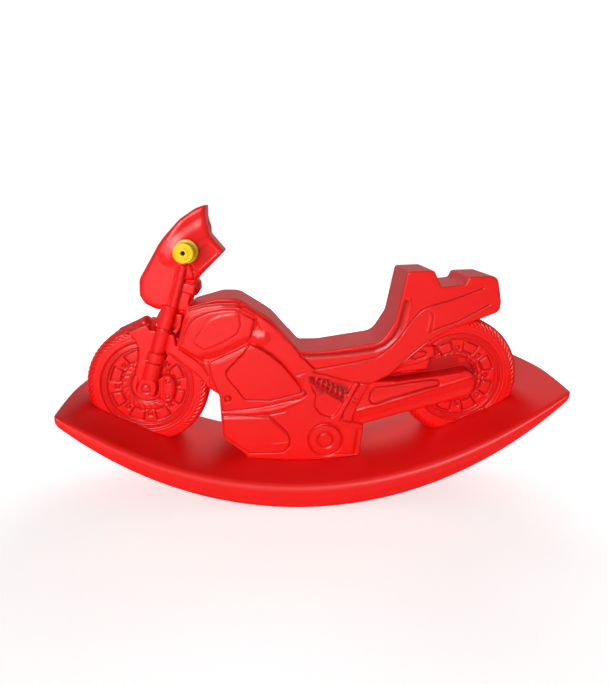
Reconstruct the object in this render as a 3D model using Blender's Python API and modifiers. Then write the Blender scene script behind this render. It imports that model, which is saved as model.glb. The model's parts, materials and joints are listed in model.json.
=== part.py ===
"""Rocking motorcycle toy: a relief-moulded motorcycle bolted to a boat-shaped rocker.

Frame: metres, +Z up. X runs along the toy with the front wheel at -X, Y runs across it, and the origin
is the rocker's lowest point, where the toy stands.
"""
import math
from collections import namedtuple

import bmesh
import bpy
from mathutils import Vector

# Rocker, seen from the side: two arcs, and a crowned top between flat ends.
ROCKER_BOTTOM_RADIUS = 0.6264
ROCKER_EDGE_HEIGHT = 0.043
ROCKER_TIP_THICKNESS = 0.0176
ROCKER_CROWN = 0.012
ROCKER_FRONT_TIP = -0.4275
ROCKER_REAR_TIP = 0.4610
ROCKER_WIDTH = 0.285
ROCKER_END_SAG = 0.009
ROCKER_CORNER_RADIUS = 0.010
ROCKER_EDGE_ROUNDING = 0.008
ROCKER_REST_LENGTH = 0.020
CROWN_FADE_LENGTH = 0.120

# Body: half widths of the layers of its relief, from the wheel faces out to the tank panel.
BODY_HALF_WIDTH = 0.060
RELIEF_STEP = 0.0028
WHEEL_HALF_WIDTH = 0.041
SWINGARM_HALF_WIDTH = 0.050
SHROUD_HALF_WIDTH = 0.053
REAR_FRAME_HALF_WIDTH = 0.047
FORK_FRAME_HALF_WIDTH = 0.0435
STEM_HALF_WIDTH = 0.036
FAIRING_HALF_WIDTH = 0.047
BODY_EDGE_ROUNDING = 0.011
PANEL_EDGE_ROUNDING = 0.0022
SHOCK_POCKET_DEPTH = 0.009

# Wheels.
FRONT_HUB = (-0.2853, 0.1979)
REAR_HUB = (0.2873, 0.2068)
TYRE_RADIUS = 0.111
TYRE_SHOULDER_RADIUS = 0.099
RIM_RADIUS = 0.077
RIM_RECESS = 0.007
WINDOW_OUTER_RADIUS = 0.064
WINDOW_INNER_RADIUS = 0.044
WINDOW_ANGLE = math.radians(29)
WINDOW_COUNT = 8
WINDOW_DEPTH = 0.0025
DISC_RADIUS = 0.036
DISC_HEIGHT = 0.002
HUB_RADIUS = 0.010
HUB_HEIGHT = 0.011

# Fork.
FORK_TOP = (-0.2405, 0.347)
FORK_FOOT = (-0.2785, 0.2150)
FORK_LEG_RADIUS = 0.0115
FORK_COLLAR_RADIUS = 0.0145
FORK_COLLARS = ((0.10, 0.30), (0.63, 0.70))
FORK_LEG_Y = 0.0425

# Rear shock absorber, brake caliper and crank cover in the relief.
SHOCK_TOP = (0.014, 0.2080)
SHOCK_FOOT = (0.075, 0.1680)
SHOCK_Y = 0.0525
SHOCK_CORE_RADIUS = 0.0065
SHOCK_RIB_RADIUS = 0.0027
SHOCK_RIB_REACH = 0.0115
SHOCK_RIB_LEAN = 0.003
SHOCK_RIBS = 8
CALIPER_HALF_WIDTH = 0.0425
CRANK_PLACE = (0.039, 0.100)
CRANK_STEPS = ((0.031, 0.0037), (0.015, 0.0052))
VENT_DEPTH = 0.004
SWINGARM_SLOT_DEPTH = 0.004
FRAME_SLOT_DEPTH = 0.003
CUTTER_REACH = 0.070

# Handlebar rod, grips and their screws.
HANDLE_PLACE = (-0.2035, 0.4425)
ROD_RADIUS = 0.006
GRIP_FLANGE_RADIUS = 0.0205
GRIP_FLANGE_THICKNESS = 0.005
GRIP_BARREL_RADIUS = 0.0145
GRIP_END_RADIUS = 0.0175
GRIP_LENGTH = 0.047
GRIP_END_LENGTH = 0.016
GRIP_END_WALL = 0.005
GRIP_HOLE_RADIUS = 0.0038
GRIP_HOLE_DEPTH = 0.011
SCREW_RADIUS = 0.002
SCREW_HEAD_RADIUS = 0.0034
SCREW_HEAD_HEIGHT = 0.004
SCREW_LENGTH = 0.016

# Bolts that hold the body to the rocker, and the plug in the rocker's blow hole.
BOLT_PLACES = ((-0.285, 0.0), (-0.055, 0.0), (0.055, 0.0), (0.287, 0.0))
BOLT_RADIUS = 0.003
BOLT_HEAD_RADIUS = 0.0058
BOLT_HEAD_HEIGHT = 0.004
BOLT_GRIP_IN_BODY = 0.020
BOLT_TIP_ROOM = 0.002
SHANK_SINK = 0.001
WELL_RADIUS = 0.012
WELL_ROOF = 0.026
WASHER_RADIUS = 0.009
WASHER_THICKNESS = 0.0016
INSERT_RADIUS = 0.006
INSERT_LENGTH = 0.014
INSERT_FLOOR = 0.004
PLUG_PLACE = (0.150, 0.0)
PLUG_RADIUS = 0.008
PLUG_DEPTH = 0.010

CLEARANCE = 0.0003
CUT_OVERSHOOT = 0.010
OUTLINE_UNIT = 0.001  # length of one unit of the side outlines
ARC_STEP = math.radians(28)

Slab = namedtuple("Slab", "half_width rounding corners")


def rocker_bottom(x):
    """Height of the rocker's underside at x, level along the rest facet."""
    rest = ROCKER_REST_LENGTH / 2
    arc = math.sqrt(ROCKER_BOTTOM_RADIUS ** 2 - rest ** 2) - math.sqrt(ROCKER_BOTTOM_RADIUS ** 2 - x * x)
    return max(0.0, arc)


def rocker_top(x):
    """Height of the rocker's near and far top edges at x, on the arc that leaves the tip its thickness."""
    rise = rocker_bottom(ROCKER_REAR_TIP) + ROCKER_TIP_THICKNESS - ROCKER_EDGE_HEIGHT
    radius = (ROCKER_REAR_TIP ** 2 + rise ** 2) / (2 * rise)
    return ROCKER_EDGE_HEIGHT + radius - math.sqrt(radius ** 2 - x * x)


def crown(x, y):
    """Height of the crowned deck over the straight line between its edges."""
    to_tip = min(x - ROCKER_FRONT_TIP, ROCKER_REAR_TIP - x) / CROWN_FADE_LENGTH
    fade = max(0.0, min(1.0, to_tip))
    fade = fade * fade * (3 - 2 * fade)
    return ROCKER_CROWN * fade * max(0.0, 1 - (2 * y / ROCKER_WIDTH) ** 2)


def deck_height(x, y):
    """Height of the deck's top surface."""
    return rocker_top(x) + crown(x, y)


def new_object(name, mesh, collection):
    """Link a mesh as a named object."""
    obj = bpy.data.objects.new(name, mesh)
    collection.objects.link(obj)
    return obj


def apply_modifiers(obj):
    """Replace the object's mesh by its evaluated one."""
    depsgraph = bpy.context.evaluated_depsgraph_get()
    mesh = bpy.data.meshes.new_from_object(obj.evaluated_get(depsgraph))
    mesh.transform(obj.matrix_world)
    obj.modifiers.clear()
    obj.data = mesh
    obj.matrix_world.identity()


def fillet(corners, rounding=0.0):
    """Points of an outline of (x, z, radius) corners; one tighter than the edge rounding stays sharp."""
    corners = [[value * OUTLINE_UNIT for value in corner] for corner in corners]
    points = []
    count = len(corners)
    for i, (x, z, radius) in enumerate(corners):
        here = Vector((x, z))
        if radius <= 1.1 * rounding:
            points.append(here)
            continue
        before = Vector(corners[i - 1][:2]) - here
        after = Vector(corners[(i + 1) % count][:2]) - here
        half = before.angle(after) / 2
        reach = min(radius / math.tan(half), 0.48 * min(before.length, after.length))
        radius = reach * math.tan(half)
        before.normalize()
        after.normalize()
        centre = here + (before + after).normalized() * radius / math.sin(half)
        start = here + before * reach - centre
        sweep = start.angle_signed(here + after * reach - centre)
        steps = math.ceil(abs(sweep) / ARC_STEP)
        for k in range(steps + 1):
            turn = -sweep * k / steps
            cos, sin = math.cos(turn), math.sin(turn)
            points.append(centre + Vector((start.x * cos - start.y * sin, start.x * sin + start.y * cos)))
    return points


def outline_mesh(name, points, half_width, rounding, collection, segments=2):
    """Closed plate of a side outline, centred on Y = 0, with rounded edges."""
    curve = bpy.data.curves.new(name, "CURVE")
    curve.dimensions = "2D"
    curve.fill_mode = "BOTH"
    spline = curve.splines.new("POLY")
    spline.points.add(len(points) - 1)
    for point, (x, z) in zip(spline.points, points):
        point.co = (x, z, 0, 1)
    spline.use_cyclic_u = True
    curve.extrude = half_width - rounding
    curve.bevel_depth = rounding
    curve.bevel_resolution = segments - 1
    curve.offset = -rounding
    holder = new_object(name + "_curve", curve, collection)
    holder.rotation_euler = (math.pi / 2, 0, 0)
    bpy.context.view_layer.update()
    depsgraph = bpy.context.evaluated_depsgraph_get()
    mesh = bpy.data.meshes.new_from_object(holder.evaluated_get(depsgraph))
    mesh.transform(holder.matrix_world)
    bpy.data.objects.remove(holder)
    tidy(mesh)
    return new_object(name, mesh, collection)


def tidy(mesh):
    """Weld a mesh and turn its faces outward."""
    edit = bmesh.new()
    edit.from_mesh(mesh)
    bmesh.ops.remove_doubles(edit, verts=edit.verts, dist=0.00001)
    bmesh.ops.dissolve_degenerate(edit, edges=edit.edges, dist=0.00001)
    bmesh.ops.recalc_face_normals(edit, faces=edit.faces)
    if edit.calc_volume(signed=True) < 0:
        bmesh.ops.reverse_faces(edit, faces=edit.faces)
    edit.to_mesh(mesh)
    edit.free()


def cylinder(name, radius, start, end, collection, sides=24):
    """Closed cylinder between two points."""
    start, end = Vector(start), Vector(end)
    edit = bmesh.new()
    bmesh.ops.create_cone(
        edit, cap_ends=True, segments=sides, radius1=radius, radius2=radius, depth=(end - start).length,
    )
    mesh = bpy.data.meshes.new(name)
    turn = (end - start).to_track_quat("Z", "Y").to_matrix().to_4x4()
    turn.translation = (start + end) / 2
    bmesh.ops.transform(edit, matrix=turn, verts=edit.verts)
    edit.to_mesh(mesh)
    edit.free()
    return new_object(name, mesh, collection)


def upright(name, radius, place_xy, low, high, collection, sides=12):
    """Closed vertical cylinder."""
    x, y = place_xy
    return cylinder(name, radius, (x, y, low), (x, y, high), collection, sides)


def crosswise(name, radius, place_xz, start, end, collection, sides=16):
    """Closed cylinder along Y."""
    x, z = place_xz
    return cylinder(name, radius, (x, start, z), (x, end, z), collection, sides)


def turned(name, profile, collection, sides):
    """Solid turned about the local Z axis from a closed profile of (radius, height) points."""
    mesh = bpy.data.meshes.new(name)
    edit = bmesh.new()
    verts = [edit.verts.new((radius, 0, height)) for radius, height in profile]
    for i in range(len(verts)):
        a, b = verts[i], verts[(i + 1) % len(verts)]
        if a.co.x > 0 or b.co.x > 0:
            edit.edges.new((a, b))
    edit.to_mesh(mesh)
    edit.free()
    obj = new_object(name, mesh, collection)
    screw = obj.modifiers.new("turn", "SCREW")
    screw.steps = sides
    screw.render_steps = sides
    screw.use_merge_vertices = True
    screw.merge_threshold = 0.00001
    apply_modifiers(obj)
    tidy(obj.data)
    return obj


def boolean(target, tool, operation):
    """Join a tool to the target or cut it out, then remove the tool."""
    change = target.modifiers.new(operation.lower(), "BOOLEAN")
    change.operation = operation
    change.solver = "EXACT"
    change.object = tool
    apply_modifiers(target)
    bpy.data.objects.remove(tool)
    tidy(target.data)


def place(obj, turn, at):
    """Turn an object's mesh about an axis ('X', 'Y' or 'Z') and move it to its place."""
    obj.rotation_euler["XYZ".index(turn[0])] = turn[1]
    obj.location = at
    bpy.context.view_layer.update()
    obj.data.transform(obj.matrix_world)
    obj.rotation_euler = (0, 0, 0)
    obj.location = (0, 0, 0)
    bpy.context.view_layer.update()
    return obj


def merged(name, objects, collection):
    """One object that holds the shells of several, which don't touch."""
    edit = bmesh.new()
    for obj in objects:
        edit.from_mesh(obj.data)
        bpy.data.objects.remove(obj)
    mesh = bpy.data.meshes.new(name)
    edit.to_mesh(mesh)
    edit.free()
    return new_object(name, mesh, collection)


def side_plates(name, points, inner, outer, collection, rounding=0.0):
    """Two plates of one outline, one on each side of the toy, from |Y| = inner to outer."""
    plates = []
    for side in (-1, 1):
        plate = outline_mesh(name, points, (outer - inner) / 2, rounding, collection, 1)
        plates.append(place(plate, ("Z", 0), (0, side * (inner + outer) / 2, 0)))
    return merged(name, plates, collection)


def rocker_stations():
    """(x, half width, inset of the nose) from the front tip to the rear tip."""
    stations = []
    straight = ROCKER_REST_LENGTH / 2
    for tip in (ROCKER_FRONT_TIP, ROCKER_REAR_TIP):
        side = math.copysign(1, tip)
        corner_start = abs(tip) - ROCKER_CORNER_RADIUS
        nose_start = abs(tip) - ROCKER_EDGE_ROUNDING
        count = math.ceil((corner_start - straight) / 0.030)
        reach = [straight + (corner_start - straight) * k / count for k in range(count + 1)]
        steps = [(x, 0.0) for x in reach]
        for k in range(3):
            turn = math.radians(35 * k)
            inset = ROCKER_EDGE_ROUNDING * (1 - math.cos(turn))
            steps.append((nose_start + ROCKER_EDGE_ROUNDING * math.sin(turn), inset))
        half = []
        for x, inset in steps:
            past = max(0.0, x - corner_start)
            narrowing = ROCKER_CORNER_RADIUS - math.sqrt(ROCKER_CORNER_RADIUS ** 2 - past ** 2)
            half.append((side * x, ROCKER_WIDTH / 2 - narrowing, inset))
        stations = half[::-1] if side < 0 else stations + half
    return stations


def rocker_section(station, raised, widened, lowered):
    """Closed ring of points round the rocker at one station."""
    x, half_width, inset = station
    tip = ROCKER_FRONT_TIP if x < 0 else ROCKER_REAR_TIP
    rows = 5

    def point(y, level, z_shift):
        sag = ROCKER_END_SAG * abs(2 * y / ROCKER_WIDTH) ** 1.5 * (x / tip) ** 4
        at = x - math.copysign(sag, x)
        top, bottom = rocker_top(at), rocker_bottom(at)
        middle, half = (top + bottom) / 2, (top - bottom) / 2 - inset
        height = middle + half * level + z_shift
        if level == 1:
            height += crown(at, y)
        return (at, y, height)

    depth = rocker_top(x) - rocker_bottom(x) - 2 * inset
    edge = min(ROCKER_EDGE_ROUNDING, 0.4 * depth)
    flat = half_width - edge
    ring = [point(-flat + 2 * flat * k / rows, -1, -lowered) for k in range(rows + 1)]
    for level, turns in ((-1, (45, 90)), (1, (90, 60, 30))):
        for turn in turns:
            angle = math.radians(turn)
            away = flat + edge * math.sin(angle) + widened
            drop = edge * (1 - math.cos(angle))
            shift = raised if level == 1 else -lowered
            at, y, height = point(away, level * 0.9999, shift)
            ring.append((at, y, height - level * drop))
    ring += [point(flat - 2 * flat * k / rows, 1, raised) for k in range(rows + 1)]
    ring += [(at, -y, height) for at, y, height in ring[rows + 1:rows + 6][::-1]]
    return ring


def rocker_shape(name, collection, raised=0.0, widened=0.0, lowered=0.0):
    """Loft through the rocker's sections, closed at both tips."""
    mesh = bpy.data.meshes.new(name)
    edit = bmesh.new()
    rings = [
        [edit.verts.new(co) for co in rocker_section(station, raised, widened, lowered)]
        for station in rocker_stations()
    ]
    count = len(rings[0])
    for before, after in zip(rings, rings[1:]):
        for k in range(count):
            n = (k + 1) % count
            edit.faces.new((before[k], before[n], after[n], after[k]))
    edit.faces.new(rings[0][::-1])
    edit.faces.new(rings[-1])
    bmesh.ops.recalc_face_normals(edit, faces=edit.faces)
    edit.to_mesh(mesh)
    edit.free()
    return new_object(name, mesh, collection)


def build_rocker(parts, cutters):
    """Rocker with a well, a bolt hole at each bolt place, and the blow hole."""
    rocker = rocker_shape("rocker_base", parts)
    bolt_bore = BOLT_RADIUS + CLEARANCE
    for place_xy in BOLT_PLACES:
        top = deck_height(*place_xy)
        roof = top - WELL_ROOF
        well = upright("well", WELL_RADIUS, place_xy, -CUT_OVERSHOOT, roof, cutters, 20)
        boolean(rocker, well, "DIFFERENCE")
        hole = upright("hole", bolt_bore, place_xy, roof - CUT_OVERSHOOT, top + CUT_OVERSHOOT, cutters)
        boolean(rocker, hole, "DIFFERENCE")
    seat = rocker_bottom(PLUG_PLACE[0]) + PLUG_DEPTH
    hole = upright("blow_hole", PLUG_RADIUS, PLUG_PLACE, -CUT_OVERSHOOT, seat, cutters, 20)
    boolean(rocker, hole, "DIFFERENCE")
    return rocker


def trunk_outline():
    """Side outline of tank, seat, tail and engine, as (x, z, corner radius)."""
    return (
        (-226, 277, 4), (-206, 346, 12), (-150, 361.5, 40), (-117, 361, 20),
        (-60, 325, 60), (-7, 263.5, 10), (30, 263.5, 30), (138, 280, 30),
        (163, 320, 30), (181, 406.5, 12), (229, 408, 5), (243, 379, 4),
        (285, 383.5, 4), (291, 397.5, 4), (338, 398.5, 14), (351, 350, 14),
        (342, 330, 8), (262, 303, 20), (230, 283, 20), (155, 218, 15),
        (119, 200, 10), (110, 124, 0), (103, 70, 0), (100, 30, 0),
        (-95, 30, 0), (-104, 69, 0), (-119, 82, 0), (-148, 104, 10),
        (-153, 186, 8), (-170, 197, 4), (-171, 220, 20), (-184, 250, 15),
    )


def body_slabs():
    """Layers of the body's side relief, each through its full width."""
    proud = BODY_HALF_WIDTH + RELIEF_STEP
    edge = PANEL_EDGE_ROUNDING
    return {
        "trunk": Slab(BODY_HALF_WIDTH, BODY_EDGE_ROUNDING, trunk_outline()),
        "swingarm": Slab(SWINGARM_HALF_WIDTH, 0.005, (
            (100, 118, 0), (179, 140, 20), (273, 164, 30), (310, 175, 14),
            (320, 200, 14), (303, 222, 14), (252, 213, 30), (177, 203, 0),
            (105, 203, 0))),
        "swingarm_rail": Slab(SWINGARM_HALF_WIDTH + 0.004, edge, (
            (98, 128, 0), (188, 154, 10), (300, 184, 6), (306, 208, 5),
            (262, 196, 10), (188, 176, 10), (98, 150, 0))),
        "rear_inner": Slab(WHEEL_HALF_WIDTH - 0.001, 0.002, (
            (105, 190, 0), (150, 225, 0), (212, 280, 0), (238, 250, 10),
            (246, 200, 0))),
        "rear_frame": Slab(REAR_FRAME_HALF_WIDTH, edge, (
            (112, 196, 0), (150, 226, 0), (206, 274, 0), (228, 270, 6),
            (236, 255, 8), (190, 230, 20), (160, 218, 0), (150, 196, 0))),
        "fork_frame": Slab(FORK_FRAME_HALF_WIDTH, 0.004, (
            (-328, 300, 4), (-309, 319, 10), (-281, 331, 5), (-270, 324, 4),
            (-258, 338, 4), (-240, 350, 6), (-200, 345, 6), (-205, 270, 6),
            (-240, 230, 6), (-262, 200, 6), (-270, 180, 8), (-300, 180, 10),
            (-300, 215, 6), (-296, 270, 8))),
        "shroud": Slab(SHROUD_HALF_WIDTH, 0.004, (
            (-243, 262, 3), (-222, 278, 3), (-190, 262, 0), (-165, 230, 0),
            (-160, 195, 0), (-172, 195, 3), (-196, 226, 20))),
        "stem": Slab(STEM_HALF_WIDTH, 0.008, (
            (-212, 400, 0), (-188, 395, 0), (-197, 345, 4), (-210, 320, 0),
            (-238, 320, 0), (-230, 345, 0))),
        "stem_clamp": Slab(STEM_HALF_WIDTH + 0.004, 0.003, (
            (-217.5, 386, 2), (-191, 380, 2), (-195, 363, 2), (-221.5, 369, 2))),
        "ignition_bump": Slab(0.014, 0.004, (
            (-200, 388, 4), (-186, 386, 4), (-186, 372, 4), (-195, 360, 4),
            (-204, 365, 0))),
        "fairing": Slab(FAIRING_HALF_WIDTH, 0.012, (
            (-168, 519.5, 3), (-187, 515, 30), (-215, 497, 60), (-249, 460, 80),
            (-289, 393, 20), (-290, 365, 15), (-281.5, 350, 15), (-262, 340, 10),
            (-232, 337, 4), (-226, 365, 10), (-213, 392, 10), (-189, 392, 4),
            (-139, 440, 5), (-163, 469, 20), (-168, 490, 20))),
        "tank_side": Slab(proud, 0.008, (
            (-221.5, 278, 6), (-203, 339, 15), (-180, 349, 15), (-122, 352, 12),
            (-90, 334, 6), (-98.5, 284, 6), (-150, 260, 10), (-178, 253, 10),
            (-204, 264, 10))),
        "tank_panel": Slab(proud + 0.0022, edge, (
            (-209, 281, 4), (-190, 326, 12), (-162, 338, 12), (-121, 341, 6),
            (-110, 310, 6), (-119, 298, 6), (-176, 270, 10), (-195, 282, 6))),
        "knee_cover": Slab(BODY_HALF_WIDTH + 0.0012, edge, (
            (-169, 246, 4), (-150, 255, 4), (-97, 281, 4), (-72, 273, 20),
            (-35, 241, 20), (5, 188, 3), (-45, 166, 30), (-77, 159, 20),
            (-147, 155, 4), (-154, 190, 6), (-166, 222, 10))),
        "knee_panel": Slab(proud + 0.0012, edge, (
            (-97, 270, 6), (-132, 237, 6), (-141, 222, 6), (-117, 184, 4),
            (-103, 175, 6), (-54, 174, 10), (3, 189, 3), (-36, 241, 20),
            (-70, 270, 15))),
        "engine_cover": Slab(proud, edge, (
            (-145, 141, 3), (-60, 143, 5), (-32, 113, 5), (-27, 96, 5),
            (-36, 72, 8), (-100, 72, 8), (-142, 105, 8))),
        "rear_cover": Slab(BODY_HALF_WIDTH + 0.0018, edge, (
            (36, 134, 3), (104, 124, 3), (94, 76, 6), (30, 76, 6))),
        "seat_side": Slab(BODY_HALF_WIDTH + 0.0016, edge, (
            (12, 233, 0), (46, 236, 20), (118, 249, 30), (152, 266, 30),
            (216, 337, 40), (330, 376, 6), (342, 346, 10), (262, 312, 20),
            (230, 290, 20), (157, 226, 20), (119, 205, 15), (14, 228, 0))),
    }


def wheel_shape(name, hub, collection, cutters):
    """Moulded wheel: rounded tyre, recessed rim, brake disc, hub and windows on both faces."""
    face = WHEEL_HALF_WIDTH
    rim = face - RIM_RECESS
    disc = rim + DISC_HEIGHT
    hub_face = face + HUB_HEIGHT - RIM_RECESS
    half = (
        (0, hub_face), (HUB_RADIUS, hub_face), (HUB_RADIUS, disc),
        (DISC_RADIUS, disc), (DISC_RADIUS, rim), (RIM_RADIUS - 0.004, rim), (RIM_RADIUS + 0.002, face),
        (TYRE_SHOULDER_RADIUS - 0.006, face), (TYRE_SHOULDER_RADIUS, face - 0.002),
        (TYRE_RADIUS - 0.005, face - 0.010), (TYRE_RADIUS - 0.001, face - 0.020),
    )
    profile = half + ((TYRE_RADIUS, 0),) + tuple((r, -h) for r, h in half[::-1])
    wheel = turned(name, profile, collection, 32)
    windows = []
    for k in range(WINDOW_COUNT):
        middle = 2 * math.pi * (k + 0.5) / WINDOW_COUNT
        turns = [middle + WINDOW_ANGLE * (j / 2 - 0.5) for j in range(3)]
        corners = [(WINDOW_OUTER_RADIUS, t) for t in turns] + [(WINDOW_INNER_RADIUS, t) for t in turns[::-2]]
        points = [(radius * math.cos(t), radius * math.sin(t)) for radius, t in corners]
        windows.append(side_plates("window", points, rim - WINDOW_DEPTH, rim + CUT_OVERSHOOT, cutters))
    cutter = merged("windows", windows, cutters)
    wheel = place(wheel, ("X", math.pi / 2), (0, 0, 0))
    boolean(wheel, cutter, "DIFFERENCE")
    return place(wheel, ("Y", 0), (hub[0], 0, hub[1]))


def fork_leg(side, collection):
    """Fork leg with its two collars on one side of the front wheel."""
    top = Vector((FORK_TOP[0], side * FORK_LEG_Y, FORK_TOP[1]))
    foot = Vector((FORK_FOOT[0], side * FORK_LEG_Y, FORK_FOOT[1]))
    leg = cylinder("fork_leg", FORK_LEG_RADIUS, top, foot, collection, 16)
    for start, end in FORK_COLLARS:
        ends = top.lerp(foot, start), top.lerp(foot, end)
        boolean(leg, cylinder("collar", FORK_COLLAR_RADIUS, *ends, collection, 16), "UNION")
    return leg


def shock_absorber(side, collection):
    """Moulded spring of the rear shock absorber: slanted ribs over a core."""
    start = Vector((SHOCK_TOP[0], side * SHOCK_Y, SHOCK_TOP[1]))
    end = Vector((SHOCK_FOOT[0], side * SHOCK_Y, SHOCK_FOOT[1]))
    core = cylinder("shock", SHOCK_CORE_RADIUS, start, end, collection, 12)
    along = (end - start).normalized()
    across = Vector((-along.z, 0, along.x))
    reach = across * SHOCK_RIB_REACH + along * SHOCK_RIB_LEAN
    for k in range(SHOCK_RIBS):
        middle = start.lerp(end, (k + 0.6) / (SHOCK_RIBS + 0.4))
        rib = cylinder("rib", SHOCK_RIB_RADIUS, middle - reach, middle + reach, collection, 8)
        boolean(core, rib, "UNION")
    return core


def build_body(parts, cutters):
    """The relief-moulded motorcycle, cut to sit on the rocker's crowned deck."""
    slabs = body_slabs()
    trunk = slabs.pop("trunk")
    points = fillet(trunk.corners, trunk.rounding)
    body = outline_mesh("motorcycle_body", points, trunk.half_width, trunk.rounding, parts)

    pocket = fillet((
        (10, 218, 3), (19, 181, 6), (17, 160, 6), (28, 147, 6),
        (51, 139, 4), (67, 156, 6), (94, 203, 3)))
    inner = BODY_HALF_WIDTH - SHOCK_POCKET_DEPTH
    boolean(body, side_plates("pocket", pocket, inner, CUTTER_REACH, cutters), "DIFFERENCE")
    vent = fillet(((-85, 325, 1), (-95.5, 285.5, 1), (-69, 277, 1), (-71, 300, 10)))
    inner = BODY_HALF_WIDTH - VENT_DEPTH
    boolean(body, side_plates("vent", vent, inner, CUTTER_REACH, cutters), "DIFFERENCE")

    for name, slab in slabs.items():
        segments = 2 if slab.rounding > 0.01 else 1
        points = fillet(slab.corners, slab.rounding)
        plate = outline_mesh(name, points, slab.half_width, slab.rounding, cutters, segments)
        boolean(body, plate, "UNION")
    slot = fillet((
        (117, 160, 4), (132, 189, 4), (178, 197, 20), (246, 204, 5),
        (251, 196, 5), (178, 176, 10)))
    inner = SWINGARM_HALF_WIDTH - SWINGARM_SLOT_DEPTH
    boolean(body, side_plates("slot", slot, inner, CUTTER_REACH, cutters), "DIFFERENCE")
    slot = fillet(((176, 241, 4), (222, 264, 4), (228, 255, 4), (182, 233, 4)))
    inner = REAR_FRAME_HALF_WIDTH - FRAME_SLOT_DEPTH
    boolean(body, side_plates("slot", slot, inner, CUTTER_REACH, cutters), "DIFFERENCE")
    for name, hub in (("front_wheel", FRONT_HUB), ("rear_wheel", REAR_HUB)):
        boolean(body, wheel_shape(name, hub, cutters, cutters), "UNION")
    for side in (-1, 1):
        boolean(body, fork_leg(side, cutters), "UNION")
        boolean(body, shock_absorber(side, cutters), "UNION")
    caliper = fillet(((-259, 216, 10), (-235, 213, 10), (-236, 167, 10), (-260, 168, 10)))
    boolean(body, outline_mesh("caliper", caliper, CALIPER_HALF_WIDTH, 0.003, cutters, 1), "UNION")
    for radius, height in CRANK_STEPS:
        reach = BODY_HALF_WIDTH + height
        boolean(body, crosswise("crank", radius, CRANK_PLACE, -reach, reach, cutters, 32), "UNION")

    foot = rocker_shape("foot", cutters, raised=CLEARANCE, widened=0.02, lowered=0.06)
    boolean(body, foot, "DIFFERENCE")
    rod_bore = ROD_RADIUS + CLEARANCE
    hole = crosswise("rod_hole", rod_bore, HANDLE_PLACE, -CUTTER_REACH, CUTTER_REACH, cutters)
    boolean(body, hole, "DIFFERENCE")
    bolt_bore = BOLT_RADIUS + CLEARANCE
    for place_xy in BOLT_PLACES:
        top = deck_height(*place_xy)
        reach = top + BOLT_GRIP_IN_BODY + BOLT_TIP_ROOM
        hole = upright("bolt_hole", bolt_bore, place_xy, top - CUT_OVERSHOOT, reach, cutters)
        boolean(body, hole, "DIFFERENCE")
        low, high = insert_span(place_xy)
        nest = upright("nest", INSERT_RADIUS + CLEARANCE, place_xy, low - CLEARANCE, high + CLEARANCE, cutters)
        boolean(body, nest, "DIFFERENCE")
    return body


def insert_span(place_xy):
    """Lowest and highest point of the threaded insert over a bolt place."""
    low = deck_height(*place_xy) + INSERT_FLOOR
    return low, low + INSERT_LENGTH


def base_hardware(parts, cutters):
    """Bolt, washer and threaded insert at each bolt place."""
    bolt_bore = BOLT_RADIUS + CLEARANCE
    for number, place_xy in enumerate(BOLT_PLACES, 1):
        top = deck_height(*place_xy)
        high = top - WELL_ROOF - CLEARANCE
        low = high - WASHER_THICKNESS
        washer = upright(f"base_washer_{number}", WASHER_RADIUS, place_xy, low, high, parts, 20)
        bore = upright("bore", bolt_bore, place_xy, low - CUT_OVERSHOOT, high + CUT_OVERSHOOT, cutters)
        boolean(washer, bore, "DIFFERENCE")
        high = low - CLEARANCE
        low = high - BOLT_HEAD_HEIGHT
        bolt = upright(f"base_bolt_{number}", BOLT_HEAD_RADIUS, place_xy, low, high, parts, 6)
        shank = upright("shank", BOLT_RADIUS, place_xy, high - SHANK_SINK, top + BOLT_GRIP_IN_BODY, cutters)
        boolean(bolt, shank, "UNION")
        low, high = insert_span(place_xy)
        insert = upright(f"body_insert_{number}", INSERT_RADIUS, place_xy, low, high, parts)
        bore = upright("bore", bolt_bore, place_xy, low - CUT_OVERSHOOT, high + CUT_OVERSHOOT, cutters)
        boolean(insert, bore, "DIFFERENCE")


def build_plug(parts):
    """Plug pressed into the rocker's blow hole, a little inside the underside."""
    x = PLUG_PLACE[0]
    low = rocker_bottom(x + PLUG_RADIUS) + CLEARANCE
    high = rocker_bottom(x) + PLUG_DEPTH - CLEARANCE
    return upright("blow_hole_plug", PLUG_RADIUS - CLEARANCE, PLUG_PLACE, low, high, parts, 20)


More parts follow.
